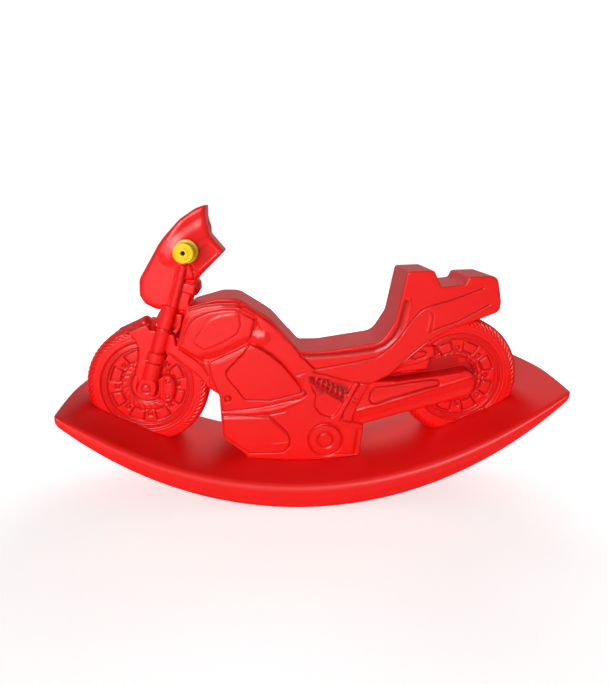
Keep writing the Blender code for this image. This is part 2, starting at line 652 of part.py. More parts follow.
def build_handle(parts, cutters):
    """Rod through the fairing, with a turning grip and its screw at each end."""
    flange_at = FAIRING_HALF_WIDTH + CLEARANCE
    hole_floor = GRIP_LENGTH - GRIP_HOLE_DEPTH
    shoulder = flange_at + hole_floor
    rod_end = shoulder - GRIP_END_WALL
    rod = crosswise("handlebar_rod", ROD_RADIUS, HANDLE_PLACE, -rod_end, rod_end, parts)
    screw_bore = SCREW_RADIUS + CLEARANCE
    for side in (-1, 1):
        start, end = side * (rod_end - SCREW_LENGTH), side * (rod_end + CUT_OVERSHOOT)
        tap = crosswise("tap", screw_bore, HANDLE_PLACE, start, end, cutters, 10)
        boolean(rod, tap, "DIFFERENCE")

    bore = ROD_RADIUS + CLEARANCE
    depth = rod_end + CLEARANCE - flange_at
    flange, barrel, end = GRIP_FLANGE_RADIUS, GRIP_BARREL_RADIUS, GRIP_END_RADIUS
    rim, end_start = GRIP_FLANGE_THICKNESS, GRIP_LENGTH - GRIP_END_LENGTH
    profile = (
        (bore, 0), (flange - 0.001, 0), (flange, 0.001), (flange, rim - 0.001), (flange - 0.001, rim),
        (barrel, rim + 0.001), (barrel, end_start), (end, end_start + 0.002), (end, GRIP_LENGTH - 0.006),
        (end - 0.003, GRIP_LENGTH - 0.003), (0.0105, GRIP_LENGTH - 0.0025), (0.0095, GRIP_LENGTH - 0.0005),
        (GRIP_HOLE_RADIUS + 0.001, GRIP_LENGTH), (GRIP_HOLE_RADIUS, GRIP_LENGTH - 0.001),
        (GRIP_HOLE_RADIUS, hole_floor), (screw_bore, hole_floor), (screw_bore, depth), (bore, depth),
    )
    x, z = HANDLE_PLACE
    for name, side in (("left", -1), ("right", 1)):
        grip = turned(name + "_grip", profile, parts, 20)
        grip = place(grip, ("X", -side * math.pi / 2), (0, side * flange_at, 0))
        grip.location = (x, 0, z)
        head_at = shoulder + CLEARANCE
        low, high = side * head_at, side * (head_at + SCREW_HEAD_HEIGHT)
        screw = crosswise(name + "_grip_screw", SCREW_HEAD_RADIUS, HANDLE_PLACE, low, high, parts)
        tip = side * (rod_end - SCREW_LENGTH + BOLT_TIP_ROOM)
        shank = crosswise("shank", SCREW_RADIUS, HANDLE_PLACE, tip, side * (head_at + SHANK_SINK), cutters, 10)
        boolean(screw, shank, "UNION")


def material(name, colour, roughness, metallic=0.0):
    """Principled material."""
    made = bpy.data.materials.new(name)
    made.use_nodes = True
    made.diffuse_color = (*colour, 1)
    shader = made.node_tree.nodes["Principled BSDF"]
    shader.inputs["Base Color"].default_value = (*colour, 1)
    shader.inputs["Roughness"].default_value = roughness
    shader.inputs["Metallic"].default_value = metallic
    return made


def finish(parts):
    """Give every piece its own material and its shading."""
    red, yellow = (0.82, 0.02, 0.015), (0.95, 0.62, 0.01)
    steel, brass = (0.45, 0.45, 0.46), (0.60, 0.42, 0.16)
    for obj in parts.objects:
        if obj.name in ("rocker_base", "motorcycle_body", "blow_hole_plug"):
            look = (red, 0.32, 0.0)
        elif obj.name in ("left_grip", "right_grip"):
            look = (yellow, 0.35, 0.0)
        elif obj.name.startswith("body_insert"):
            look = (brass, 0.35, 0.9)
        else:
            look = (steel, 0.35, 0.9)
        obj.data.materials.clear()
        obj.data.materials.append(material(obj.name + "_material", *look))
        obj.data.shade_smooth()
        obj.data.set_sharp_from_angle(angle=math.radians(35))


def main():
    """Build the whole toy."""
    for obj in list(bpy.data.objects):
        bpy.data.objects.remove(obj)
    parts = bpy.data.collections.new("rocking_motorcycle")
    cutters = bpy.data.collections.new("cutters")
    for collection in (parts, cutters):
        bpy.context.scene.collection.children.link(collection)
    build_rocker(parts, cutters)
    build_body(parts, cutters)
    base_hardware(parts, cutters)
    build_plug(parts)
    build_handle(parts, cutters)
    finish(parts)


main()
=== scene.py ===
"""Looks of the rocking motorcycle toy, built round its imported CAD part.

Frame: metres, +Z up. X runs along the toy with the front wheel at -X, and -Y is the rider's left side,
which faces the camera. Outlines and strokes on the body's side are (x, z) in millimetres.
"""
import json
import logging
import math
from dataclasses import dataclass
from enum import Enum

import bpy
import numpy as np
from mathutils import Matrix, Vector

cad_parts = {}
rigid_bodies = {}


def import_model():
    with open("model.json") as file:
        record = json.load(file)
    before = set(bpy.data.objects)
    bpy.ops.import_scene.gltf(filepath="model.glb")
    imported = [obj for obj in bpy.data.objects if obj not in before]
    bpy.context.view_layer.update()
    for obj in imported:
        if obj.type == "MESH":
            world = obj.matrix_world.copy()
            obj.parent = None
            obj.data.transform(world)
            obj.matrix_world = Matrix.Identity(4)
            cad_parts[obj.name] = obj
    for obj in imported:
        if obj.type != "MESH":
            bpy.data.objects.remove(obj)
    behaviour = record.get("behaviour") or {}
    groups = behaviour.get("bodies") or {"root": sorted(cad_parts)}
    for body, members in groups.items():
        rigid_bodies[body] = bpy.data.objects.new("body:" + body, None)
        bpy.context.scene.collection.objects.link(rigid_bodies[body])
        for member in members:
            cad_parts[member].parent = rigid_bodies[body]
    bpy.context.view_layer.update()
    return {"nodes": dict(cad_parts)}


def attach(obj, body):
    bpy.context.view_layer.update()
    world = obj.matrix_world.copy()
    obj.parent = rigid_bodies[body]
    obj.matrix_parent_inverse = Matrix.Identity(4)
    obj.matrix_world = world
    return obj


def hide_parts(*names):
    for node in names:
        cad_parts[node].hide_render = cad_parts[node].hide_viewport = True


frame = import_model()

MM = 0.001
log = logging.getLogger("rocking_motorcycle")

Piece = bpy.types.Object
Colour = tuple[float, float, float]
Place = tuple[float, float, float]
Corner = tuple[float, float, float]
Point = tuple[float, float]
Line = tuple[Point, ...]

# Axis of the handlebar, which the fairing's hole and both grips share
HANDLE: Point = (-203.5, 442.5)


class Layer(Enum):
    """Heights of the side relief, as the lowest and highest |Y| in millimetres that a stroke may touch."""

    WHEEL = (30.0, 39.8)
    FORK = (40.5, 60.0)
    FAIRING = (39.0, 49.0)
    FAIRING_REAR = (24.0, 50.0)
    REAR_FRAME = (40.0, 48.5)
    SWINGARM = (45.0, 56.0)
    SHROUD = (49.0, 55.5)
    POCKET = (45.0, 62.0)
    STEM = (34.0, 42.0)
    TRUNK = (56.0, 69.0)
    ANY = (0.0, 80.0)


# Workbench: small steps with Blender's own tools


def deselect() -> None:
    """Leave edit mode and clear the selection."""
    if bpy.context.object and bpy.context.object.mode != "OBJECT":
        bpy.ops.object.mode_set(mode="OBJECT")
    for obj in bpy.context.selected_objects:
        obj.select_set(False)


def activate(obj: Piece) -> None:
    """Select one object alone and make it active.

    Args:
        obj: the object.
    """
    deselect()
    obj.select_set(True)
    bpy.context.view_layer.objects.active = obj


def settle(obj: Piece) -> Piece:
    """Move an object's place, turn and scale into its mesh.

    Args:
        obj: the object.

    Returns:
        The same object.
    """
    activate(obj)
    bpy.ops.object.transform_apply(location=True, rotation=True, scale=True)
    return obj


def close_seams(obj: Piece, distance: float = 0.00002) -> Piece:
    """Merge doubles and turn the faces outward.

    Args:
        obj: a closed mesh whose seams may be open.
        distance: how far apart merged points may be, in metres.

    Returns:
        The same object.
    """
    activate(obj)
    bpy.ops.object.mode_set(mode="EDIT")
    bpy.ops.mesh.select_all(action="SELECT")
    bpy.ops.mesh.remove_doubles(threshold=distance)
    bpy.ops.mesh.normals_make_consistent(inside=False)
    bpy.ops.object.mode_set(mode="OBJECT")
    return obj


def score(obj: Piece, cuts: list[tuple[float, Place]]) -> None:
    """Cut edges into a mesh along planes, so that it can bend there.

    Args:
        obj: the mesh.
        cuts: each plane's distance from the origin in metres, and its normal.
    """
    activate(obj)
    bpy.ops.object.mode_set(mode="EDIT")
    for distance, normal in cuts:
        bpy.ops.mesh.select_all(action="SELECT")
        bpy.ops.mesh.bisect(plane_co=Vector(normal) * distance, plane_no=normal)
    bpy.ops.object.mode_set(mode="OBJECT")


def modify(obj: Piece, kind: str, **settings: object) -> None:
    """Add one modifier with its settings and apply it.

    Args:
        obj: the object to change.
        kind: the modifier's type.
        **settings: values for its properties.
    """
    activate(obj)
    modifier = obj.modifiers.new(kind.lower(), kind)
    for name, value in settings.items():
        setattr(modifier, name, value)
    bpy.ops.object.modifier_apply(modifier=modifier.name)


def carve(target: Piece, tool: Piece) -> None:
    """Take a closed tool piece out of the target, and remove the tool."""
    modify(target, "BOOLEAN", operation="DIFFERENCE", solver="EXACT", object=tool)
    bpy.data.objects.remove(tool)


def join(name: str, pieces: list[Piece]) -> Piece:
    """Put several pieces into one object.

    Args:
        name: the joined object's name.
        pieces: at least one mesh object.

    Returns:
        The joined object.
    """
    deselect()
    for piece in pieces:
        piece.select_set(True)
    bpy.context.view_layer.objects.active = pieces[0]
    bpy.ops.object.join()
    pieces[0].name = name
    return pieces[0]


def smooth(obj: Piece, degrees: float = 35.0) -> None:
    """Shade an object smooth, with an edge kept where its faces meet at more than an angle."""
    activate(obj)
    bpy.ops.object.shade_smooth_by_angle(angle=math.radians(degrees))


def fillet(corners: tuple[Corner, ...], rounding: float = 0.0, step: float = 12.0) -> list[Vector]:
    """Round the corners of a side outline.

    Args:
        corners: (x, z, radius) in millimetres. A corner tighter than the edge rounding stays sharp.
        rounding: the plate's edge rounding in millimetres.
        step: largest turn between two points of an arc, in degrees.

    Returns:
        The outline's points in metres.
    """
    points = []
    for i, (x, z, radius) in enumerate(corners):
        here = Vector((x, z)) * MM
        if radius <= 1.1 * rounding:
            points.append(here)
            continue
        before = Vector(corners[i - 1][:2]) * MM - here
        after = Vector(corners[(i + 1) % len(corners)][:2]) * MM - here
        half = before.angle(after) / 2
        reach = min(radius * MM / math.tan(half), 0.48 * min(before.length, after.length))
        arc = reach * math.tan(half)
        before.normalize()
        after.normalize()
        centre = here + (before + after).normalized() * arc / math.sin(half)
        start = here + before * reach - centre
        sweep = start.angle_signed(here + after * reach - centre)
        count = max(1, math.ceil(abs(math.degrees(sweep)) / step))
        for k in range(count + 1):
            cos, sin = math.cos(-sweep * k / count), math.sin(-sweep * k / count)
            points.append(centre + Vector((start.x * cos - start.y * sin, start.x * sin + start.y * cos)))
    return points


def plate(name: str, points: list[Vector], low: float, high: float, rounding: float = 0.0) -> Piece:
    """Closed plate of a side outline with rounded edges.

    Args:
        name: the object's name.
        points: the outline's (x, z) points in metres.
        low: the plate's Y start in millimetres.
        high: the plate's Y end in millimetres.
        rounding: the edge rounding in millimetres.

    Returns:
        The plate, with its place in its mesh.
    """
    curve = bpy.data.curves.new(name, "CURVE")
    curve.dimensions = "2D"
    curve.fill_mode = "BOTH"
    spline = curve.splines.new("POLY")
    spline.points.add(len(points) - 1)
    for point, (x, z) in zip(spline.points, points):
        point.co = (x, z, 0, 1)
    spline.use_cyclic_u = True
    curve.extrude = ((high - low) / 2 - rounding) * MM
    curve.bevel_depth = rounding * MM
    curve.bevel_resolution = 3
    curve.offset = -rounding * MM
    obj = bpy.data.objects.new(name, curve)
    bpy.context.scene.collection.objects.link(obj)
    obj.rotation_euler = (math.pi / 2, 0, 0)
    obj.location = (0, (low + high) / 2 * MM, 0)
    activate(obj)
    bpy.ops.object.convert(target="MESH")
    return close_seams(settle(obj), 0.00001)


def rod(name: str, radius: float, start: Place | Vector, end: Place | Vector, sides: int = 32) -> Piece:
    """Cylinder between the centres of its two ends.

    Args:
        name: the object's name.
        radius: its radius in metres.
        start: centre of one end, in metres.
        end: centre of the other end, in metres.
        sides: how many flat sides stand for the round one.

    Returns:
        The closed cylinder.
    """
    start, end = Vector(start), Vector(end)
    deselect()
    bpy.ops.mesh.primitive_cylinder_add(
        vertices=sides, radius=radius, depth=(end - start).length, location=(start + end) / 2,
        rotation=(end - start).to_track_quat("Z", "Y").to_euler(),
    )
    obj = bpy.context.object
    obj.name = name
    return settle(obj)


def world_point(point: Point, y: float) -> Vector:
    """A place in metres, from a point of the side view and its Y in millimetres."""
    return Vector((point[0], y, point[1])) * MM


def spun(name: str, profile: list[Point], sides: int) -> Piece:
    """Solid spun about the Y axis from a profile drawn point by point.

    Args:
        name: the object's name.
        profile: (radius, y) points in millimetres, from axis to axis or closed by its own last point.
        sides: steps of the full turn.

    Returns:
        The closed solid round the origin.
    """
    deselect()
    bpy.ops.mesh.primitive_plane_add(size=MM)
    obj = bpy.context.object
    obj.name = name
    bpy.ops.object.mode_set(mode="EDIT")
    bpy.ops.mesh.select_all(action="SELECT")
    bpy.ops.mesh.merge(type="CENTER")
    at = Vector(profile[0]) * MM
    bpy.ops.transform.translate(value=(at.x, at.y, 0))
    for point in profile[1:]:
        to = Vector(point) * MM
        step = to - at
        bpy.ops.mesh.extrude_region_move(TRANSFORM_OT_translate={"value": (step.x, step.y, 0)})
        at = to
    bpy.ops.mesh.select_all(action="SELECT")
    bpy.ops.mesh.spin(steps=sides, angle=math.tau, center=(0, 0, 0), axis=(0, 1, 0))
    bpy.ops.object.mode_set(mode="OBJECT")
    return close_seams(obj)


def shift(obj: Piece, x: float, y: float, z: float) -> Piece:
    """Move a piece inside its mesh, in millimetres."""
    obj.location = (x * MM, y * MM, z * MM)
    return settle(obj)


# Finishes


def feed(tree: bpy.types.NodeTree, node: bpy.types.Node, feeds: dict[str | int, object]) -> None:
    """Fill a node's inputs.

    Args:
        tree: the node's tree.
        node: the node.
        feeds: a value or another node's output for each input, by name or number.
    """
    for key, value in feeds.items():
        if isinstance(value, bpy.types.NodeSocket):
            tree.links.new(value, node.inputs[key])
        else:
            node.inputs[key].default_value = value


def add_node(
    tree: bpy.types.NodeTree, kind: str, feeds: dict[str | int, object] | None = None, **settings: object,
) -> bpy.types.Node:
    """Add a shader node.

    Args:
        tree: the tree that it goes into.
        kind: its type, without the prefix that all types share.
        feeds: what goes into its inputs.
        **settings: values for its own properties.

    Returns:
        The node.
    """
    node = tree.nodes.new("ShaderNode" + kind)
    for name, value in settings.items():
        setattr(node, name, value)
    feed(tree, node, feeds or {})
    return node


def calc(tree: bpy.types.NodeTree, operation: str, *values: object) -> bpy.types.NodeSocket:
    """Result of a Math node on values or other nodes' outputs."""
    return add_node(tree, "Math", dict(enumerate(values)), operation=operation).outputs[0]


class NodeGroups:
    """Shader node groups shared by the finishes, each built once."""

    def __init__(self) -> None:
        """Start with no group built."""
        self.made: dict[str, bpy.types.NodeTree] = {}

    def moulded_skin(self) -> bpy.types.NodeTree:
        """Drift of colour and gloss, and the fine skin of moulded or turned pieces.

        Returns:
            The group, with Colour, Drift, Roughness and Gloss Drift inputs.
        """
        if "moulded_skin" in self.made:
            return self.made["moulded_skin"]
        tree = bpy.data.node_groups.new("moulded_skin", "ShaderNodeTree")
        sockets = {
            "INPUT": ("Colour", "Drift", "Roughness", "Gloss Drift"),
            "OUTPUT": ("Colour", "Roughness", "Height"),
        }
        for side, labels in sockets.items():
            for label in labels:
                kind = "NodeSocketColor" if label == "Colour" else "NodeSocketFloat"
                tree.interface.new_socket(label, in_out=side, socket_type=kind)
        source, sink = tree.nodes.new("NodeGroupInput").outputs, tree.nodes.new("NodeGroupOutput")
        place = add_node(tree, "TexCoord").outputs["Object"]
        flow, cloud, skin = (
            add_node(tree, "TexNoise", {"Vector": place, "Scale": scale, "Detail": detail}).outputs["Fac"]
            for scale, detail in ((7.0, 2.0), (42.0, 3.0), (620.0, 2.0))
        )
        amount = calc(tree, "MULTIPLY_ADD", calc(tree, "SUBTRACT", flow, 0.5), source["Drift"], 1.0)
        tint = add_node(tree, "VectorMath", {0: source["Colour"], "Scale": amount}, operation="SCALE")
        uneven = calc(tree, "SUBTRACT", cloud, 0.5)
        feed(tree, sink, {
            "Colour": tint.outputs[0],
            "Roughness": calc(tree, "MULTIPLY_ADD", uneven, source["Gloss Drift"], source["Roughness"]),
            "Height": calc(tree, "MULTIPLY_ADD", cloud, 0.5, skin),
        })
        self.made["moulded_skin"] = tree
        return tree


GROUPS = NodeGroups()


@dataclass(frozen=True)
class Finish:
    """A coloured surface with a fine skin."""

    name: str
    colour: Colour
    roughness: float
    drift: float = 0.05
    gloss_drift: float = 0.08
    grain: float = 0.5
    grain_depth: float = 0.00005

    def refine(self, tree: bpy.types.NodeTree, colour: bpy.types.NodeSocket) -> None:
        """What each kind of finish adds to the shared skin's nodes and colour."""
        raise NotImplementedError

    def material(self) -> bpy.types.Material:
        """The finish as a material, made on first use.

        Returns:
            The material.
        """
        if self.name in bpy.data.materials:
            return bpy.data.materials[self.name]
        made = bpy.data.materials.new(self.name)
        made.use_nodes = True
        tree = made.node_tree
        skin = add_node(tree, "Group", node_tree=GROUPS.moulded_skin())
        feed(tree, skin, {
            "Colour": (*self.colour, 1), "Drift": self.drift, "Roughness": self.roughness,
            "Gloss Drift": self.gloss_drift,
        })
        bump = add_node(tree, "Bump", {
            "Strength": self.grain, "Distance": self.grain_depth, "Height": skin.outputs["Height"],
        })
        feed(tree, tree.nodes["Principled BSDF"], {
            "Base Color": skin.outputs["Colour"], "Roughness": skin.outputs["Roughness"],
            "Normal": bump.outputs["Normal"],
        })
        self.refine(tree, skin.outputs["Colour"])
        return made


@dataclass(frozen=True)
class MouldedPlastic(Finish):
    """Coloured polyethylene as it leaves the mould, with painted shade down in its grooves."""

    # Share of the colour left in the deepest grooves: painted shade
    groove_shade: float = 0.42

    def refine(self, tree: bpy.types.NodeTree, colour: bpy.types.NodeSocket) -> None:
        """Paint shade into the grooves by darkening the colour there.

        Args:
            tree: the material's nodes.
            colour: the skin's colour.
        """
        # The groove attribute mixes in a darker copy of the colour: painted shade in the grooves
        groove = add_node(tree, "Attribute", attribute_name="groove").outputs["Fac"]
        deep = (*(c * self.groove_shade for c in self.colour), 1)
        mixed = add_node(tree, "Mix", {"Factor": groove, "A": colour, "B": deep}, data_type="RGBA")
        feed(tree, tree.nodes["Principled BSDF"], {"Base Color": mixed.outputs["Result"], "IOR": 1.5})


@dataclass(frozen=True)
class TurnedMetal(Finish):
    """Plated or bare metal with fine turning lines."""

    drift: float = 0.25
    gloss_drift: float = 0.25
    grain: float = 0.4
    grain_depth: float = 0.00003

    def refine(self, tree: bpy.types.NodeTree, colour: bpy.types.NodeSocket) -> None:
        """Make the surface metallic."""
        feed(tree, tree.nodes["Principled BSDF"], {"Metallic": 1.0})


RED = MouldedPlastic("red_moulded_plastic", (0.93, 0.005, 0.004), 0.34)
YELLOW = MouldedPlastic("yellow_moulded_plastic", (0.97, 0.66, 0.001), 0.44, drift=0.04)
DARK_STEEL = TurnedMetal("dark_oiled_steel", (0.020, 0.020, 0.022), 0.55)
STEEL = TurnedMetal("zinc_plated_steel", (0.55, 0.56, 0.58), 0.32)
BRASS = TurnedMetal("brass", (0.72, 0.52, 0.22), 0.30)


def finish_piece(obj: Piece, finish: Finish, body: str, node: str) -> None:
    """Give a finished piece its material and the body that it rides on, and hide the CAD node that it stands
    for.

    Args:
        obj: the piece.
        finish: its finish.
        body: the CAD body.
        node: the CAD node that it replaces.
    """
    obj.data.materials.clear()
    obj.data.materials.append(finish.material())
    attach(obj, body)
    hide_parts(node)
    log.info("%s: %d faces, %s, rides on %s", obj.name, len(obj.data.polygons), finish.name, body)


# Side relief, sculpted on the dense body


def edge_distance(x: np.ndarray, z: np.ndarray, points: Line, closed: bool) -> np.ndarray:
    """Distance of points to a line of straight parts.

    Args:
        x: the points' places along the toy, in millimetres.
        z: their heights, in millimetres.
        points: the line.
        closed: whether the line closes on itself.

    Returns:
        The distances in millimetres.
    """
    ends = points[1:] + points[:1] if closed else points[1:]
    best = np.full(x.shape, 1e9, np.float32)
    for (ax, az), (bx, bz) in zip(points, ends):
        dx, dz = bx - ax, bz - az
        t = np.clip(((x - ax) * dx + (z - az) * dz) / max(dx * dx + dz * dz, 1e-9), 0, 1)
        best = np.minimum(best, np.hypot(x - ax - t * dx, z - az - t * dz))
    return best


def inside(x: np.ndarray, z: np.ndarray, points: Line) -> np.ndarray:
    """Which points lie inside a closed outline, by counting how often a ray crosses it.

    Args:
        x: the points' places along the toy, in millimetres.
        z: their heights, in millimetres.
        points: the outline.

    Returns:
        True for each point inside.
    """
    hit = np.zeros(x.shape, bool)
    for (ax, az), (bx, bz) in zip(points, points[1:] + points[:1]):
        if az != bz:
            crosses = (az > z) != (bz > z)
            hit ^= crosses & (x < (bx - ax) * (z - az) / (bz - az) + ax)
    return hit


def ramp(value: np.ndarray, low: float, high: float) -> np.ndarray:
    """Smooth step from 0 at low to 1 at high."""
    t = np.clip((value - low) / (high - low), 0, 1)
    return t * t * (3 - 2 * t)


def hollow(away: np.ndarray, reach: float) -> np.ndarray:
    """Section of a round-bottomed groove, 1 in its middle and 0 at its reach."""
    return np.clip(1 - (away / reach) ** 2, 0, 1)


class Sculptor:
    """Pushes the points of a dense mesh in and out along their normals.

    Places, widths and heights are in millimetres. A height is negative where the surface sinks, and only
    points whose normal's Y share is over "facing" are moved.
    """

    def __init__(self, obj: Piece) -> None:
        """Read the dense piece's mesh.

        Args:
            obj: the dense piece.
        """
        self.obj = obj
        mesh = obj.data
        count = len(mesh.vertices)
        flat = np.empty(count * 3, np.float32)
        mesh.vertices.foreach_get("co", flat)
        self.points = flat.reshape(-1, 3).copy()
        mesh.vertex_normals.foreach_get("vector", flat)
        self.normals = flat.reshape(-1, 3).copy()
        self.x = self.points[:, 0] / MM
        self.z = self.points[:, 2] / MM
        self.y = np.abs(self.points[:, 1]) / MM
        self.facing = np.abs(self.normals[:, 1])
        self.push = np.zeros(count, np.float32)
        # How deep each vertex lies in a narrow groove, kept for the painted shade that darkens grooves
        self.line = np.zeros(count, np.float32)

    def near(self, points: Line, margin: float, layer: Layer = Layer.ANY, facing: float = -1.0) -> np.ndarray:
        """The vertices near a line, in a layer and facing sideways.

        Args:
            points: the line.
            margin: how far from the line's box a vertex may lie.
            layer: the heights that count.
            facing: the least sideways share of the normal.

        Returns:
            The vertices' indices.
        """
        xs, zs = [p[0] for p in points], [p[1] for p in points]
        low, high = layer.value
        return np.flatnonzero(
            (self.x > min(xs) - margin) & (self.x < max(xs) + margin) & (self.z > min(zs) - margin)
            & (self.z < max(zs) + margin) & (self.y > low) & (self.y < high) & (self.facing > facing)
        )

    def weight(self, chosen: np.ndarray, layer: Layer, facing: float) -> np.ndarray:
        """How much each chosen vertex moves, fading at the layer's limits and where it turns away.

        Args:
            chosen: the vertices' indices.
            layer: the relief's height.
            facing: the sideways share of the normal at which the fading ends in nothing.

        Returns:
            A share from 0 to 1 for each.
        """
        low, high = layer.value
        fade = ramp(self.y[chosen], low, low + 1.2) * (1 - ramp(self.y[chosen], high - 0.6, high))
        return fade * ramp(self.facing[chosen], facing, facing + 0.3)

    def stroke(
        self, points: Line, width: float, height: float, layer: Layer = Layer.TRUNK,
        closed: bool = False, facing: float = 0.3, dark: float | None = None,
    ) -> None:
        """Draw a groove or a ridge along a line.

        Args:
            points: the line.
            width: half the stroke's width.
            height: its height.
            layer: the relief's height that it is drawn on.
            closed: whether the line closes on itself.
            facing: the least sideways share of the normal.
            dark: how much of the depth is painted in as shade; without it a narrow groove's whole depth is.
        """
        chosen = self.near(points, width, layer, facing)
        gap = edge_distance(self.x[chosen], self.z[chosen], points, closed) / width
        bell = np.where(gap < 1, (1 - gap * gap) ** 2, 0) * self.weight(chosen, layer, facing)
        self.push[chosen] += height * bell
        # A share of the groove's depth is kept as painted shade
        dark = float(width < 3.6) if dark is None else dark
        self.add_painted_shade(chosen, -height * bell * dark)

    def strokes(self, *lines: tuple[Line, float, float], **options: object) -> None:
        """Draw several strokes with the same options, each given as its line, half width and height."""
        for points, width, height in lines:
            self.stroke(points, width, height, **options)

    def pad(
        self, points: Line, height: float, slope: float = 2.4, layer: Layer = Layer.TRUNK, moat: float = 0.0,
    ) -> None:
        """Raise or sink the area inside an outline, with a groove round it.

        Args:
            points: the outline.
            height: how far the area rises.
            slope: width of the sloping edge.
            layer: the relief's height that it is drawn on.
            moat: depth of the groove round the area, also painted in as shade.
        """
        chosen = self.near(points, slope + 4, layer, 0.3)
        x, z = self.x[chosen], self.z[chosen]
        gap = edge_distance(x, z, points, True)
        signed = np.where(inside(x, z, points), gap, -gap)
        rise = height * ramp(signed, -slope / 2, slope / 2)
        ditch = hollow(signed + slope / 2, 1.9) ** 2 * moat
        weight = self.weight(chosen, layer, 0.3)
        self.push[chosen] += (rise - ditch) * weight
        # The moat's depth is painted in as shade
        self.add_painted_shade(chosen, ditch * weight)

    def dot(
        self, centre: Point, radius: float, height: float, ring: float, layer: Layer = Layer.TRUNK,
    ) -> None:
        """A small round head with a groove round it.

        Args:
            centre: its place.
            radius: its radius.
            height: how far it rises.
            ring: depth of the groove round it, also painted in as shade.
            layer: the relief's height that it is drawn on.
        """
        chosen = self.near((centre,), radius + 3, layer, 0.3)
        away = np.hypot(self.x[chosen] - centre[0], self.z[chosen] - centre[1])
        ditch = ring * hollow(away - radius - 0.8, 1.6)
        weight = self.weight(chosen, layer, 0.3)
        self.push[chosen] += (height * (1 - ramp(away, radius - 1, radius)) - ditch) * weight
        # The ring's depth is painted in as shade
        self.add_painted_shade(chosen, ditch * weight)

    def add_painted_shade(self, chosen: np.ndarray, depth: np.ndarray) -> None:
        """Remember how deep narrow grooves are at the chosen vertices, for their painted shade."""
        self.line[chosen] = np.maximum(self.line[chosen], depth)

    def cut(self, chosen: np.ndarray, depth: np.ndarray, dark: float) -> None:
        """Sink the chosen vertices, and paint shade into them by a share of that depth."""
        self.push[chosen] -= depth
        self.add_painted_shade(chosen, dark * depth)

    def wedge(self, points: Line, across: Point, depth: float, slope: float = 4.0) -> None:
        """Sink an area that is deepest at one side and rises to nothing at the other.

        Args:
            points: the area's outline.
            across: the direction in which it rises.
            depth: its greatest depth.
            slope: width of its edge.
        """
        chosen = self.near(points, slope, Layer.TRUNK, 0.2)
        x, z = self.x[chosen], self.z[chosen]
        along = x * across[0] + z * across[1]
        ends = [px * across[0] + pz * across[1] for px, pz in points]
        share = np.clip((along - min(ends)) / (max(ends) - min(ends)), 0, 1)
        rim = ramp(edge_distance(x, z, points, True), 0, slope) * inside(x, z, points)
        self.push[chosen] -= depth * (1 - share) ** 2 * rim * self.weight(chosen, Layer.TRUNK, 0.2)

    def ease(self, points: Line, y: float, reach: float, depth: float) -> None:
        """Round an edge off further.

        Args:
            points: the edge seen from the side.
            y: its height on the side.
            reach: how far from the edge the rounding starts.
            depth: how much the edge itself goes in.
        """
        chosen = self.near(points, reach)
        away = np.hypot(edge_distance(self.x[chosen], self.z[chosen], points, False), self.y[chosen] - y)
        self.push[chosen] -= depth * np.clip(1 - away / reach, 0, 1) ** 1.5

    def narrow(self, points: Line, reach: float, share: float) -> None:
        """Draw the sides in along an edge.

        Args:
            points: the edge seen from the side.
            reach: how far from the edge this starts.
            share: the share of the width that the edge itself loses.
        """
        chosen = self.near(points, reach)
        gap = edge_distance(self.x[chosen], self.z[chosen], points, False)
        self.points[chosen, 1] *= 1 - share * (1 - ramp(gap, 0, reach))

    def clear(self, points: Line) -> None:
        """Take back what was drawn where another plate covers the wheel.

        Args:
            points: outline of the covered area.
        """
        chosen = self.near(points, 0)
        covered = chosen[inside(self.x[chosen], self.z[chosen], points)]
        self.push[covered] = 0
        self.line[covered] = 0

    def paint_recess_shade(self, points: Line, y: float, depth: float) -> None:
        """Paint shade into a recess by darkening its colour.

        Args:
            points: the recess's outline.
            y: the height on the side under which it lies.
            depth: the groove depth that the painted shade stands for.
        """
        chosen = self.near(points, 0)
        chosen = chosen[inside(self.x[chosen], self.z[chosen], points) & (self.y[chosen] < y)]
        self.add_painted_shade(chosen, np.full(len(chosen), depth, np.float32))

    def shade(self) -> None:
        """Keep how deep each vertex lies in a groove as an attribute, which the material paints as shade."""
        groove = self.obj.data.attributes.new("groove", "FLOAT", "POINT")
        groove.data.foreach_set("value", np.clip((self.line - 0.4) / 2.0, 0, 1).astype(np.float32))

    def finish(self) -> None:
        """Move the vertices."""
        self.points += self.normals * (self.push * MM)[:, None]
        self.obj.data.vertices.foreach_set("co", self.points.ravel())
        self.obj.data.update()


# The red pieces: plates, rocker, wheels and body


@dataclass(frozen=True)
class Slab:
    """One plate of the body's relief, through its full width: half width, edge rounding and outline in mm."""

    half_width: float
    rounding: float
    corners: tuple[Corner, ...]

    def build(self, name: str) -> Piece:
        """The plate as a closed piece."""
        outline = fillet(self.corners, self.rounding)
        return plate(name, outline, -self.half_width, self.half_width, self.rounding)


